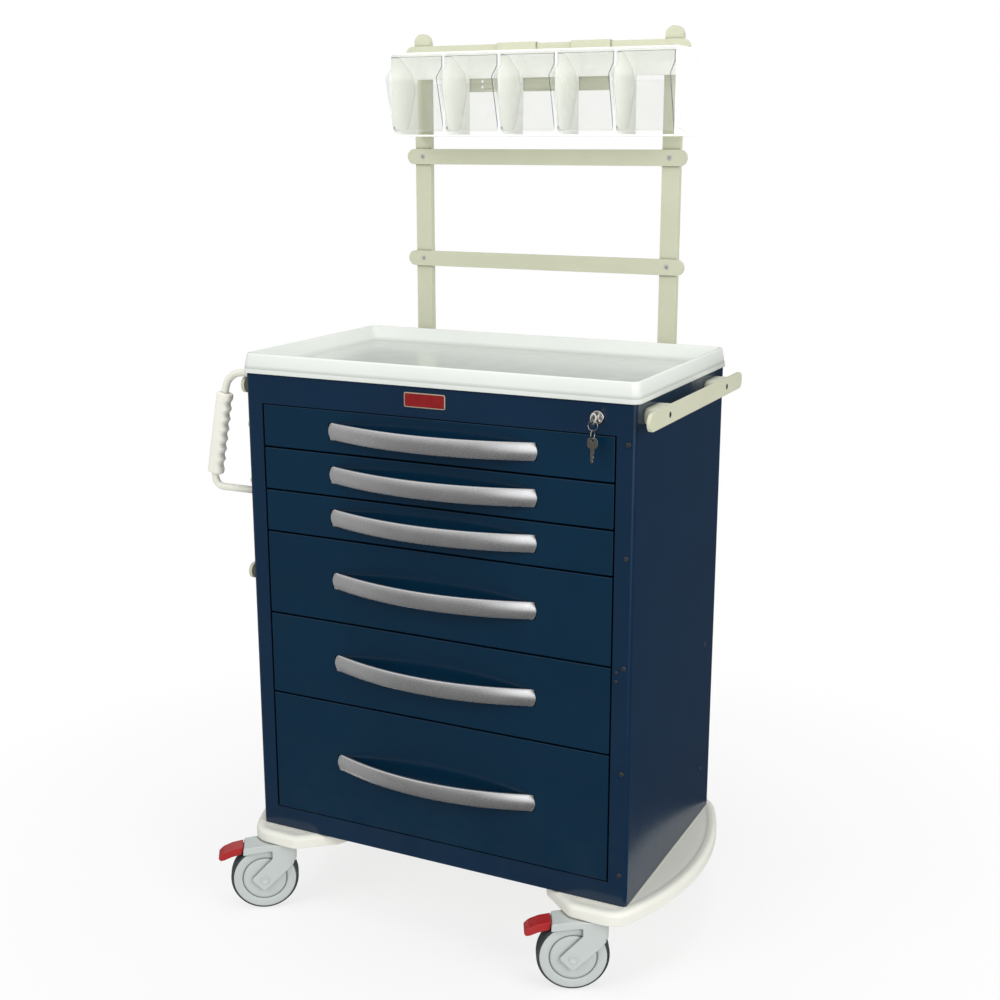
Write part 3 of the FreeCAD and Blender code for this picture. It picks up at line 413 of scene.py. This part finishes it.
def hold(bm):
    """Temporary object that takes over a bmesh, so that modifiers can work on it."""
    bmesh.ops.recalc_face_normals(bm, faces=bm.faces)
    mesh = bpy.data.meshes.new("temporary")
    bm.to_mesh(mesh)
    bm.free()
    holder = bpy.data.objects.new("temporary", mesh)
    bpy.context.scene.collection.objects.link(holder)
    return holder


def release(holder):
    """New bmesh of a temporary object with its modifiers applied."""
    graph = bpy.context.evaluated_depsgraph_get()
    shaped = bpy.data.meshes.new_from_object(holder.evaluated_get(graph), depsgraph=graph)
    result = bmesh.new()
    result.from_mesh(shaped)
    bpy.data.meshes.remove(shaped)
    return result


def combine(solid, tools, operation):
    """Apply a boolean between one bmesh and others; returns a new bmesh."""
    holders = [hold(bm) for bm in [solid] + tools]
    for tool in holders[1:]:
        cut = holders[0].modifiers.new("cut", "BOOLEAN")
        cut.operation = operation
        cut.object = tool
        cut.solver = "EXACT"
    result = release(holders[0])
    for holder in holders:
        bpy.data.objects.remove(holder)
    return result


def melt(bm, voxel, passes):
    """Moulded form: remesh to even voxels and smooth, which leaves soft fillets."""
    holder = hold(bm)
    remesh = holder.modifiers.new("remesh", "REMESH")
    remesh.mode = "VOXEL"
    remesh.voxel_size = voxel * MM
    smooth = holder.modifiers.new("smooth", "SMOOTH")
    smooth.iterations = passes
    smooth.factor = 0.5
    result = release(holder)
    bpy.data.objects.remove(holder)
    return result


def piece(name, bm, nodes, materials, bevel=0.0, segments=3, rim_material=None):
    """Finished object that stands for CAD nodes: it rides on their body, wears the given materials and hides the
    nodes.
    """
    bmesh.ops.remove_doubles(bm, verts=bm.verts, dist=0.001 * MM)
    bmesh.ops.recalc_face_normals(bm, faces=bm.faces)
    mesh = bpy.data.meshes.new(name)
    bm.to_mesh(mesh)
    bm.free()
    mesh.shade_smooth()
    for material in materials:
        mesh.materials.append(material)
    made = bpy.data.objects.new(name, mesh)
    bpy.context.scene.collection.objects.link(made)
    if bevel:
        round_off(made, bevel, segments, rim_material)
    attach(made, BODY_OF[nodes[0]])
    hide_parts(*nodes)
    return made


def round_off(thing, width, segments, rim_material=None):
    """Rounded edges and even shading, by modifiers."""
    bevel = thing.modifiers.new("bevel", "BEVEL")
    bevel.width = width * MM
    bevel.segments = segments
    bevel.limit_method = "ANGLE"
    bevel.angle_limit = math.radians(32)
    bevel.miter_outer = "MITER_ARC"
    if rim_material is not None:
        bevel.material = rim_material
    normals = thing.modifiers.new("normals", "WEIGHTED_NORMAL")
    normals.keep_sharp = False


# ---------------------------------------------------------------- carried-over CAD nodes
def soften(node, width, dissolve):
    """Weld a CAD mesh, join its flat triangles if asked and round its edges, all by modifiers."""
    weld = node.modifiers.new("weld", "WELD")
    weld.merge_threshold = 0.01 * MM
    if dissolve:
        flat = node.modifiers.new("flat", "DECIMATE")
        flat.decimate_type = "DISSOLVE"
        flat.angle_limit = math.radians(0.6)
    round_off(node, width, 2)


WELL_ROUNDED = ("side_rails", "accessory_rails", "rear_posts")
KEEP_TRIANGLES = ("bin_housing", "bin_hanger")


def dress_cad_nodes():
    """Materials and rounded edges for the CAD nodes whose shape stays."""
    for name, node in NODES.items():
        material = MATERIALS[SLOT_OF[name]]
        if not node.data.materials:
            node.data.materials.append(material)
        for slot in node.material_slots:
            slot.material = material
        if not node.hide_render:
            width = 1.0 if name in WELL_ROUNDED else 0.5
            soften(node, width, dissolve=name not in KEEP_TRIANGLES)


# ---------------------------------------------------------------- base
CABINET_LOW, CABINET_HIGH = box_mm("cabinet_shell")
BASE_LOW, BASE_HIGH = box_mm("base_skirt")


def base_outline():
    """Outline of the moulded base in millimetres: bulging sides and a recess at front and rear."""
    bulge, end = BASE_HIGH[:2]
    shoulder_x, shoulder_y = 377.0, 222.0
    recess_x, recess_y, neck_y = 190.0, 157.0, 200.0
    rise = bulge - shoulder_x
    side_r = (shoulder_y ** 2 + rise ** 2) / (2 * rise)
    reach = math.asin(shoulder_y / side_r)
    turn = math.pi / 2 - reach
    corner_r = (end - shoulder_y) / (1 - math.cos(turn))
    corner_x = shoulder_x - corner_r * math.sin(turn)
    slant, slant_r, slant_x = math.radians(39.0), 24.0, 283.0
    quarter = []
    for k in range(15):
        angle = reach * k / 14
        quarter.append((bulge - side_r * (1 - math.cos(angle)), side_r * math.sin(angle)))
    for k in range(9, -1, -1):
        angle = turn * k / 10
        quarter.append((corner_x + corner_r * math.sin(angle), end - corner_r * (1 - math.cos(angle))))
    for k in range(9):
        angle = slant * k / 8
        quarter.append((slant_x - slant_r * math.sin(angle), end - slant_r * (1 - math.cos(angle))))
    start = quarter[-1]
    neck_x = start[0] - (start[1] - neck_y) / math.tan(slant)
    quarter += [(neck_x, neck_y), (recess_x, recess_y)]
    half = quarter + [(-x, y) for x, y in reversed(quarter)]
    return half + [(x, -y) for x, y in reversed(half[1:-1])]


def inset(outline, distance):
    """Outline moved inwards, corner by corner."""
    moved = []
    count = len(outline)
    for i, point in enumerate(outline):
        here, last, after = Vector(point), Vector(outline[i - 1]), Vector(outline[(i + 1) % count])
        a, b = (here - last).normalized(), (after - here).normalized()
        inward = Vector((-a.y - b.y, a.x + b.x)).normalized()
        stretch = max(0.5, inward.dot(Vector((-a.y, a.x))))
        moved.append(tuple(here + inward * distance / stretch))
    return moved


def make_base_skirt():
    """Moulded base: rounded outer lip, shallow dished ledge, plinth under the cabinet, hollow below."""
    low, top = BASE_LOW[2], BASE_HIGH[2]
    lip_r, ledge_depth, plinth_out, plinth_from = 9.0, 1.4, 2.6, 250.0
    sections = [(4.0, top - 4.5), (4.0, low + 0.6), (3.2, low), (0.8, low), (0.0, low + 0.8)]
    for k in range(8):
        angle = math.pi / 2 * k / 7
        sections.append((lip_r * (1 - math.cos(angle)), top - lip_r * (1 - math.sin(angle))))
    for k in range(1, 8):
        share = k / 7
        fall = share * share * (3 - 2 * share)
        sections.append((lip_r + 3.0 + 9.0 * share, top - ledge_depth * fall))
    outline = base_outline()
    bm = bmesh.new()
    skin(bm, [[bm.verts.new(level(x, y, z)) for x, y in inset(outline, d)] for d, z in sections])
    plinth_x, plinth_y = CABINET_HIGH[0] + plinth_out, CABINET_HIGH[1] + plinth_out
    for way in (-1, 1):
        corners = [
            (plinth_from, -plinth_y, 1), (plinth_x, -plinth_y, 9), (plinth_x, plinth_y, 9),
            (plinth_from, plinth_y, 1),
        ]
        corners = [(x * way, y, r) for x, y, r in corners][::way]
        slab(bm, rounded(corners), top - 3.4, top, level)
    return piece("base_cover", bm, ["base_skirt"], [MATERIALS["ivory_base"]], bevel=0.8, segments=3)


# ---------------------------------------------------------------- casters
WHEEL_R, TRAIL = 62.5, 40.0


def caster_lift(name):
    """Lifts from caster coordinates (swivel on Z, wheel trailing along -X) to the row frame."""
    swivel = Vector(JOINTS[name + "_swivel_turn"]["pos_m"])
    axle = Vector(JOINTS[name + "_roll_turn"]["pos_m"])
    ahead = Vector((swivel.x - axle.x, swivel.y - axle.y, 0)).normalized()
    across = Vector((-ahead.y, ahead.x, 0))

    def point(x, y, z):
        return Vector((swivel.x, swivel.y, 0)) + (ahead * x + across * y + Vector((0, 0, z))) * MM

    return {
        "side": lambda a, b, depth: point(a, depth, b),
        "level": lambda a, b, depth: point(a, b, depth),
        "axle": lambda a, b, depth: point(a - TRAIL, depth, b + WHEEL_R),
    }


def make_fork(name, braked):
    """Moulded fork: full-width yoke with a rounded nose, two slanting legs and a hood over the wheel."""
    lift = caster_lift(name)
    half_w, hood_half_w, room_gap, room_half_w = 23.5, 23.2, 2.6, 17.6
    leg = rounded([
        (-64.5, 62.8, 5), (-41.3, 38.6, 6), (20, 96, 9), (20, 131, 1), (-24, 131, 1), (-24.6, 103, 4),
    ])
    nose = rounded([(-75, -half_w, 2), (20, -half_w, 17), (20, half_w, 17), (-75, half_w, 2)], 10)
    solid, nose_tool = bmesh.new(), bmesh.new()
    slab(solid, leg, -half_w, half_w, lift["side"])
    slab(nose_tool, nose, 20, 140, lift["level"])
    solid = combine(solid, [nose_tool], "INTERSECT")
    back = -76.6 if braked else -88.0
    hood, neck = bmesh.new(), bmesh.new()
    slab(hood, rounded([
        (-18, 131, 0), (-52, 130.6, 30), (back, 127.4, 3), (back - 1.5, 113.2, 2), (-60, 115.5, 12),
        (-27, 119, 2), (-18, 112, 0),
    ]), -hood_half_w, hood_half_w, lift["side"])
    slab(neck, circle(18.5, 40), 110, 136.4, lift["level"])
    solid = combine(solid, [hood, neck], "UNION")
    room = bmesh.new()
    slab(room, circle(WHEEL_R + room_gap, 72), -room_half_w, room_half_w, lift["axle"])
    solid = melt(combine(solid, [room], "DIFFERENCE"), 0.9, 5)
    for way in (-1, 1):
        button = [
            (0.0, 20.3 * way), (8.2, 20.3 * way), (8.2, 24.0 * way), (7.4, 24.6 * way), (6.4, 24.6 * way),
            (5.9, 24.1 * way), (0.0, 24.1 * way),
        ]
        lathe(solid, button, lift["axle"], 40)
    stem = [(0.0, 134.0), (9.5, 134.0), (9.5, 149.5), (0.0, 149.5)]
    lathe(solid, stem, lift["level"], 32)
    return piece(name + "_yoke", solid, [name + "_fork"], [MATERIALS["caster_grey"]])


def make_wheel(name):
    """Wheel: pale grey hub with a thin groove round a domed middle, and a dark rubber tread."""
    lift = caster_lift(name)
    tread_from = 57.3
    half = [
        (WHEEL_R, 0.0), (WHEEL_R, 8.0), (62.2, 10.5), (61.2, 12.8), (59.6, 14.6), (57.6, 15.5), (57.2, 15.2),
        (56.6, 15.7), (54.0, 16.2), (46.0, 16.2), (42.3, 15.9), (41.6, 15.2), (41.3, 13.0), (39.7, 13.0),
        (39.4, 15.2), (38.8, 15.9), (34.0, 16.3), (24.0, 16.8), (9.0, 17.0), (6.1, 17.0),
    ]
    profile = half + [(r, -h) for r, h in reversed(half[1:])]
    bm = bmesh.new()
    lathe(bm, profile, lift["axle"], 120, paint=lambda radius: 1 if radius > tread_from else 0)
    return piece(name + "_rolling", bm, [name + "_wheel"], [MATERIALS["wheel_grey"], MATERIALS["tyre"]])


def make_pedal(name):
    """Red brake pedal with a rounded tip, and its hub between the cheeks of the fork."""
    lift = caster_lift(name)
    half_w, hub_half_w = 16.5, 14.6
    outline = rounded([
        (-77.8, 128.2, 1.2), (-98, 124.6, 34), (-115, 117.6, 16), (-124.4, 108.5, 3.5), (-120, 102.6, 3),
        (-113, 103.6, 8), (-100, 109.0, 10), (-80.2, 114.0, 1.2),
    ], 5)
    bm = bmesh.new()
    slab(bm, outline, -half_w, half_w, lift["side"])
    hub = [(-87, 116.3), (-72.5, 116.3), (-72.5, 123), (-87, 123)]
    slab(bm, hub, -hub_half_w, hub_half_w, lift["side"])
    return piece(name + "_foot", bm, [name + "_pedal"], [MATERIALS["pedal_red"]], bevel=1.8, segments=4)


def make_casters():
    """Four casters; the two at the front have a brake."""
    names = [joint[: -len("_swivel_turn")] for joint in JOINTS if joint.endswith("_swivel_turn")]
    for name in names:
        braked = name + "_brake_press" in JOINTS
        make_fork(name, braked)
        make_wheel(name)
        if braked:
            make_pedal(name)


# ---------------------------------------------------------------- drawers
def make_pull(number):
    """Bowed pull: an arc seen from above, with a crowned face, soft edges and rounded ends."""
    node = "drawer_%d_pull" % number
    (_x0, y0, z0), (half_w, _y1, z1) = box_mm(node)
    mount_y = CABINET_LOW[1]
    bow = mount_y - y0
    centre_z, half_h = (z0 + z1) / 2, (z1 - z0) / 2
    arc_r = (half_w ** 2 + bow ** 2) / (2 * bow)
    end_r, thick, crown, stations = 3.0, 9.0, 3.0, 64
    span = math.asin(half_w / arc_r)
    bm = bmesh.new()
    rings = []
    spots = [-span + 2 * span * k / stations for k in range(stations + 1)]
    tips = [span - end_r / arc_r * (1 - math.cos(math.radians(10 * k))) for k in range(9)]
    spots = sorted({round(a, 6) for a in spots + tips + [-a for a in tips] if abs(a) <= span})
    for angle in spots:
        away = (span - abs(angle)) * arc_r
        cut = end_r - math.sqrt(max(0.0, end_r ** 2 - (end_r - away) ** 2)) if away < end_r else 0.0
        h = half_h - cut
        section = []
        for k in range(13):
            share = -1 + 2 * k / 12
            section.append((crown * share * share, h * share))
        section += [
            (crown + 0.4, h + 0.1), (thick - 1.5, h - 0.4), (thick, h - 2.0),
            (thick, -h + 2.0), (thick - 1.5, -h + 0.4), (crown + 0.4, -h - 0.1),
        ]
        ring = []
        for depth, z in section:
            radius = arc_r - depth
            x = radius * math.sin(angle)
            y = mount_y - bow + arc_r - radius * math.cos(angle)
            ring.append(bm.verts.new(level(x, min(y, mount_y), centre_z + z)))
        rings.append(ring)
    skin(bm, rings)
    return piece("drawer_%d_handle" % number, bm, [node], [MATERIALS["satin_aluminium"]])


def make_drawer_front(number):
    """Drawer front with softly rounded edges."""
    node = "drawer_%d_front" % number
    (_x0, y0, z0), (x, y1, z1) = box_mm(node)
    bm = bmesh.new()
    slab(bm, rounded([(-x, z0, 1.6), (x, z0, 1.6), (x, z1, 1.6), (-x, z1, 1.6)], 4), y0, y1, front)
    return piece("drawer_%d_panel" % number, bm, [node], [MATERIALS["drawer_blue"]], bevel=1.5, segments=4)


def make_drawers():
    """Fronts and pulls of the six drawers."""
    for number in range(1, 7):
        make_pull(number)
        make_drawer_front(number)


# ---------------------------------------------------------------- worktop
def ring_of(x, y, radius):
    """Outline of a rectangle with rounded corners and half sides x and y, centred on the origin."""
    return rounded([(-x, -y, radius), (x, -y, radius), (x, y, radius), (-x, y, radius)], 10)


def make_tray():
    """Moulded worktop: tapered skirt, rounded rim, sloping inner walls and a flat floor."""
    (_x, _y, z0), (x0, y0, z1) = box_mm("worktop_tray")
    floor_z = TRAY_FLOOR / MM
    taper, rim_r, rim_in, inner_r, wall_in, fillet = 5.0, 2.6, 8.4, 1.6, 23.0, 7.0
    sections = [(x0 - 3.0, y0 - 3.0, 11, z0 + 0.4), (x0 - 0.8, y0 - 0.8, 13.5, z0), (x0, y0, 14, z0 + 0.8)]
    for k in range(7):
        angle = math.pi / 2 * k / 6
        inward = taper + rim_r * (1 - math.cos(angle))
        sections.append((x0 - inward, y0 - inward, 14 - rim_r / 3, z1 - rim_r * (1 - math.sin(angle))))
    for k in range(1, 7):
        angle = math.pi / 2 * k / 6
        inward = rim_in + inner_r * math.sin(angle)
        sections.append((x0 - inward, y0 - inward, 11, z1 - inner_r * (1 - math.cos(angle))))
    for k in range(9):
        angle = math.pi / 2 * k / 8
        inward = wall_in + fillet * (1 - math.cos(angle))
        sections.append((x0 - inward, y0 - inward - 1.0, 18, floor_z + fillet * (1 - math.sin(angle))))
    bm = bmesh.new()
    skin(bm, [[bm.verts.new(level(x, y, z)) for x, y in ring_of(hx, hy, r)] for hx, hy, r, z in sections])
    return piece("worktop", bm, ["worktop_tray"], [MATERIALS["white_tray"]])


# ---------------------------------------------------------------- push handle
TUBE_R = 6.5


def handle_corners():
    """Corners (x, z, radius) of the push handle's centre line from its upper to its lower foot, and its y."""
    (x0, y0, _z0), (_x1, y1, z1) = box_mm("push_handle_tube")
    wall, top, bottom = CABINET_LOW[0], z1 - TUBE_R, 789.0
    corners = [(wall, top, 0), (-423.0, top, 38), (x0 + TUBE_R + 1.7, bottom, 18), (wall, bottom, 0)]
    return corners, (y0 + y1) / 2


def make_handle():
    """Bent tube with a flange at its lower foot."""
    corners, y = handle_corners()
    bm = bmesh.new()
    path = [front(x, z, y) for x, z in rounded(corners, 14)]
    sweep(bm, path, circle(TUBE_R, 32), Vector((0, 1, 0)))
    foot_x, foot_z = corners[-1][0], corners[-1][1]
    flange = [(0.0, 0.0), (12.5, 0.0), (12.5, 1.6), (11.6, 2.8), (8.6, 3.0), (7.4, 4.6), (0.0, 4.8)]
    lathe(bm, flange, lambda a, b, h: Vector((foot_x - h, y + a, foot_z + b)) * MM, 40)
    return piece("push_handle", bm, ["push_handle_tube"], [MATERIALS["ivory_handle"]])


def make_grip():
    """Moulded grip: squarish outer side, seven finger hollows facing the cabinet."""
    corners, y = handle_corners()
    upper, lower = Vector(corners[1][:2]), Vector(corners[2][:2])
    down = (lower - upper).normalized()
    inward = Vector((-down.y, down.x))
    start, length, stations = upper + down * 39.0, 152.0, 112
    half_deep, half_wide, squareness = 15.0, 11.3, 2 / 2.7
    hollows, hollow_depth, end_r = 7, 4.0, 4
    bm = bmesh.new()
    rings = []
    for k in range(stations + 1):
        along = length * k / stations
        tip = min(along, length - along)
        cap = 1.0 if tip > end_r else 0.80 + 0.20 * math.sqrt(max(0.0, 1 - ((end_r - tip) / end_r) ** 2))
        wave = 0.5 - 0.5 * math.cos(2 * math.pi * (along / length * (hollows + 1) - 0.5))
        hollow = hollow_depth * wave ** 0.7 if 0.055 < along / length < 0.945 else 0.0
        ring = []
        for j in range(40):
            turn = 2 * math.pi * j / 40
            c, s = math.cos(turn), math.sin(turn)
            a = half_deep * math.copysign(abs(c) ** squareness, c)
            b = half_wide * math.copysign(abs(s) ** squareness, s)
            if c > 0:
                a -= hollow * c ** 0.6
            flat = start + down * along + inward * a * cap
            ring.append(bm.verts.new(front(flat.x, flat.y, y + b * cap)))
        rings.append(ring)
    skin(bm, rings)
    materials = [MATERIALS["ivory_grip"]]
    return piece("push_handle_sleeve", bm, ["push_handle_grip"], materials, bevel=0.8, segments=2)


# ---------------------------------------------------------------- tilt bins
def make_tilt_bin(number):
    """Clear moulded bin: upright collar, flared lip, leaning front, curved back, open above."""
    node = "tilt_bin_%d" % number
    (pin_0, _y0, _z0), (pin_1, _y1, _z1) = box_mm(node)
    pin_out, pin_r, wall = 2.1, 2.0, 1.8
    x0, x1 = pin_0 + pin_out, pin_1 - pin_out

    def outline(w):
        return rounded([
            (118.5 + w, 1547.0 + 2 * w, 0), (118.5 + w, 1529.0 + 0.3 * w, 2.5), (96.5 + 1.2 * w, 1509.0, 1.5),
            (123.5 + w, 1416.0 + w, 3.5 - w / 2), (178.0 - w, 1416.0 + w, 26 - w), (206.0 - w, 1490.0, 12),
            (196.0 + w, 1520.0 + 2 * w, 0), (150.0 + 2 * w, 1547.0 + 2 * w, 0),
        ], 6)

    solid, inside, pins = bmesh.new(), bmesh.new(), bmesh.new()
    slab(solid, outline(0.0), x0, x1, side)
    slab(inside, outline(wall), x0 + wall, x1 - wall, side)
    solid = combine(solid, [inside], "DIFFERENCE")
    origin = Vector(JOINTS[node + "_tilt"]["pos_m"]) / MM
    for a, b in ((pin_0, x0 + 0.5), (x1 - 0.5, pin_1)):
        slab(pins, circle(pin_r, 20), a, b, lambda u, v, d: side(origin.y + u, origin.z + v, d))
    solid = combine(solid, [pins], "UNION")
    materials = [MATERIALS["clear_bin"], MATERIALS["clear_rim_painted_shade"]]
    name = "tilt_bin_%d_clear" % number
    return piece(name, solid, [node], materials, bevel=0.8, segments=2, rim_material=1)


# ---------------------------------------------------------------- lock and plate
def make_name_plate():
    """Blank plate: pale metal border round a raised red field."""
    (x0, y0, z0), (x1, y1, z1) = box_mm("name_plate")
    middle = ((x0 + x1) / 2, (z0 + z1) / 2)
    half_w, tall, border = (x1 - x0) / 2, z1 - z0, 1.7
    bm = bmesh.new()
    slab(bm, bar(half_w, tall, 3.0, middle), y0 + 0.3, y1, front)
    for face in bm.faces:
        face.material_index = 1
    slab(bm, bar(half_w - border, tall - 2 * border, 2.0, middle), y0, y1 - 0.4, front)
    materials = [MATERIALS["red_plate"], MATERIALS["plate_border"]]
    return piece("blank_plate", bm, ["name_plate"], materials, bevel=0.25, segments=2)


def make_key_ring():
    """Split ring in the bow of the key, and a spare key on a second small ring."""
    (x0, y0, z0), (x1, y1, z1) = box_mm("key_ring")
    cx, y, cz = (x0 + x1) / 2, (y0 + y1) / 2, (z0 + z1) / 2
    wire_r, blade_half = 0.6, 0.9
    ring_r = (x1 - x0) / 2 - wire_r
    bm = bmesh.new()
    wire = [(ring_r + a, b) for a, b in circle(wire_r, 12)]
    lathe(bm, wire, lambda a, b, h: front(cx + a, cz + b, y + h), 48)
    link_z = cz - 2 * ring_r + 1.6
    lathe(bm, wire, lambda a, b, h: Vector((cx + h, y + a, link_z + b)) * MM, 48)
    bow_z = link_z - ring_r - 4.6
    bow, hole = bmesh.new(), bmesh.new()
    slab(bow, rounded([
        (cx - 8.5, bow_z + 6, 5), (cx - 8.5, bow_z - 7, 5), (cx - 3, bow_z - 9.5, 2),
        (cx - 3, bow_z - 29, 0), (cx - 0.5, bow_z - 33, 0), (cx + 2, bow_z - 30, 0),
        (cx + 0.8, bow_z - 27, 0), (cx + 3, bow_z - 24, 0), (cx + 1.4, bow_z - 21, 0),
        (cx + 3, bow_z - 18, 0), (cx + 3, bow_z - 9.5, 2), (cx + 8.5, bow_z - 7, 5),
        (cx + 8.5, bow_z + 6, 5), (cx + 3, bow_z + 8, 3), (cx - 3, bow_z + 8, 3),
    ], 4), y - blade_half, y + blade_half, front)
    slab(hole, circle(2.4, 24), y - 3, y + 3, lambda a, b, d: front(cx + a, bow_z + 4.2 + b, d))
    joined = combine(bow, [hole], "DIFFERENCE")
    mesh = bpy.data.meshes.new("spare")
    joined.to_mesh(mesh)
    joined.free()
    bm.from_mesh(mesh)
    bpy.data.meshes.remove(mesh)
    return piece("key_ring_and_spare", bm, ["key_ring"], [MATERIALS["key_nickel"]], bevel=0.25, segments=2)


make_base_skirt()
make_casters()
make_drawers()
make_tray()
make_handle()
make_grip()
for bin_number in range(1, 6):
    make_tilt_bin(bin_number)
make_name_plate()
make_key_ring()
dress_cad_nodes()


# ---------------------------------------------------------------- stage, light and camera
def floor_material():
    """Pale studio floor that fades to the backdrop's white away from the object."""
    material = bpy.data.materials.new("studio_floor")
    material.use_nodes = True
    tree = material.node_tree
    shader = tree.nodes["Principled BSDF"]
    shader.inputs["Base Color"].default_value = (0.86, 0.86, 0.86, 1)
    shader.inputs["Roughness"].default_value = 0.6
    shader.inputs["Specular IOR Level"].default_value = 0.1
    glow = add(tree, "ShaderNodeEmission", {"Color": (1, 1, 1, 1), "Strength": 1.0}).outputs[0]
    distance = add(tree, "ShaderNodeVectorMath", {0: place(tree)}, operation="LENGTH").outputs["Value"]
    fade = spread(tree, distance, 0.3, 1.4, 0.72, 1.0)
    mixed = add(tree, "ShaderNodeMixShader", {0: fade, 1: shader.outputs[0], 2: glow}).outputs[0]
    tree.links.new(mixed, tree.nodes["Material Output"].inputs["Surface"])
    return material


def make_floor():
    """Round floor, far wider than any view of the object."""
    radius = 60.0
    mesh = bpy.data.meshes.new("studio_floor")
    bm = bmesh.new()
    bmesh.ops.create_circle(bm, cap_ends=True, segments=96, radius=radius)
    bm.to_mesh(mesh)
    bm.free()
    floor = bpy.data.objects.new("studio_floor", mesh)
    mesh.materials.append(floor_material())
    bpy.context.scene.collection.objects.link(floor)
    floor.visible_glossy = False


def studio_world():
    """White backdrop for the camera, soft light all round, and soft boxes that show in glossy surfaces."""
    world = bpy.data.worlds.new("studio")
    bpy.context.scene.world = world
    world.use_nodes = True
    tree = world.node_tree
    tree.nodes.clear()
    direction = add(tree, "ShaderNodeTexCoord").outputs["Generated"]

    def soft_box(azimuth, elevation, inner, outer, strength):
        """Glow around one direction; azimuth 0 is the front, 90 is the right."""
        a, e = math.radians(azimuth), math.radians(elevation)
        aim = (math.sin(a) * math.cos(e), -math.cos(a) * math.cos(e), math.sin(e))
        near = add(tree, "ShaderNodeVectorMath", {0: direction, 1: aim}, operation="DOT_PRODUCT")
        rim, core = math.cos(math.radians(outer)), math.cos(math.radians(inner))
        return spread(tree, near.outputs["Value"], rim, core, 0.0, strength)

    height = add(tree, "ShaderNodeSeparateXYZ", {0: direction}).outputs[2]
    glow = math_node(tree, "ADD", spread(tree, height, 0.0, 0.55, 0.0, 0.95), 0.02)
    # azimuth, elevation, inner and outer half angle, strength
    boxes = (
        (30, 6, 8, 30, 2.2),
        (66, 5, 6, 20, 2.4),
        (-40, -12, 10, 60, 0.12),
        (-85, -10, 10, 45, 0.35),
        (154, -10, 15, 50, 0.05),
    )
    for box in boxes:
        glow = math_node(tree, "ADD", soft_box(*box), glow)
    path = add(tree, "ShaderNodeLightPath")
    shiny = add(tree, "ShaderNodeBackground", {"Strength": glow}).outputs[0]
    ambient = add(tree, "ShaderNodeBackground", {"Strength": 0.62}).outputs[0]
    seen = add(tree, "ShaderNodeBackground", {"Color": (1, 1, 1, 1), "Strength": 1.0}).outputs[0]
    glossy, direct = path.outputs["Is Glossy Ray"], path.outputs["Is Camera Ray"]
    lit = add(tree, "ShaderNodeMixShader", {0: glossy, 1: ambient, 2: shiny}).outputs[0]
    whole = add(tree, "ShaderNodeMixShader", {0: direct, 1: lit, 2: seen}).outputs[0]
    output = add(tree, "ShaderNodeOutputWorld")
    tree.links.new(whole, output.inputs["Surface"])


def area_light(name, location, target, size, power):
    """Square soft light aimed at a point."""
    data = bpy.data.lights.new(name, "AREA")
    data.shape = "SQUARE"
    data.size = size
    data.energy = power
    light = bpy.data.objects.new(name, data)
    light.location = location
    light.rotation_euler = (Vector(target) - Vector(location)).to_track_quat("-Z", "Y").to_euler()
    light.visible_glossy = False
    bpy.context.scene.collection.objects.link(light)


def make_lights():
    """Large lights from the front left, the front right and above."""
    area_light("key_light", (-1.8, -3.4, 3.0), (0, 0, 0.8), 2.2, 60)
    area_light("side_light", (3.4, -1.2, 2.0), (0, 0, 0.7), 2.0, 60)
    area_light("top_light", (0.4, -0.4, 4.2), (0, 0, 0.8), 2.0, 44)


def make_camera():
    """Camera to the front right of the cart, a little above it."""
    data = bpy.data.cameras.new("camera")
    data.lens = 51.93
    data.sensor_width = 36.0
    camera = bpy.data.objects.new("camera", data)
    camera.location = (1.1246, -2.2661, 1.3993)
    turn, dip = math.radians(25.896), math.radians(13.982)
    camera.rotation_euler = (math.pi / 2 - dip, 0, turn)
    bpy.context.scene.collection.objects.link(camera)
    bpy.context.scene.camera = camera


make_floor()
studio_world()
make_lights()
make_camera()
bpy.context.scene.view_settings.view_transform = "Standard"
bpy.context.scene.cycles.transparent_max_bounces = 24
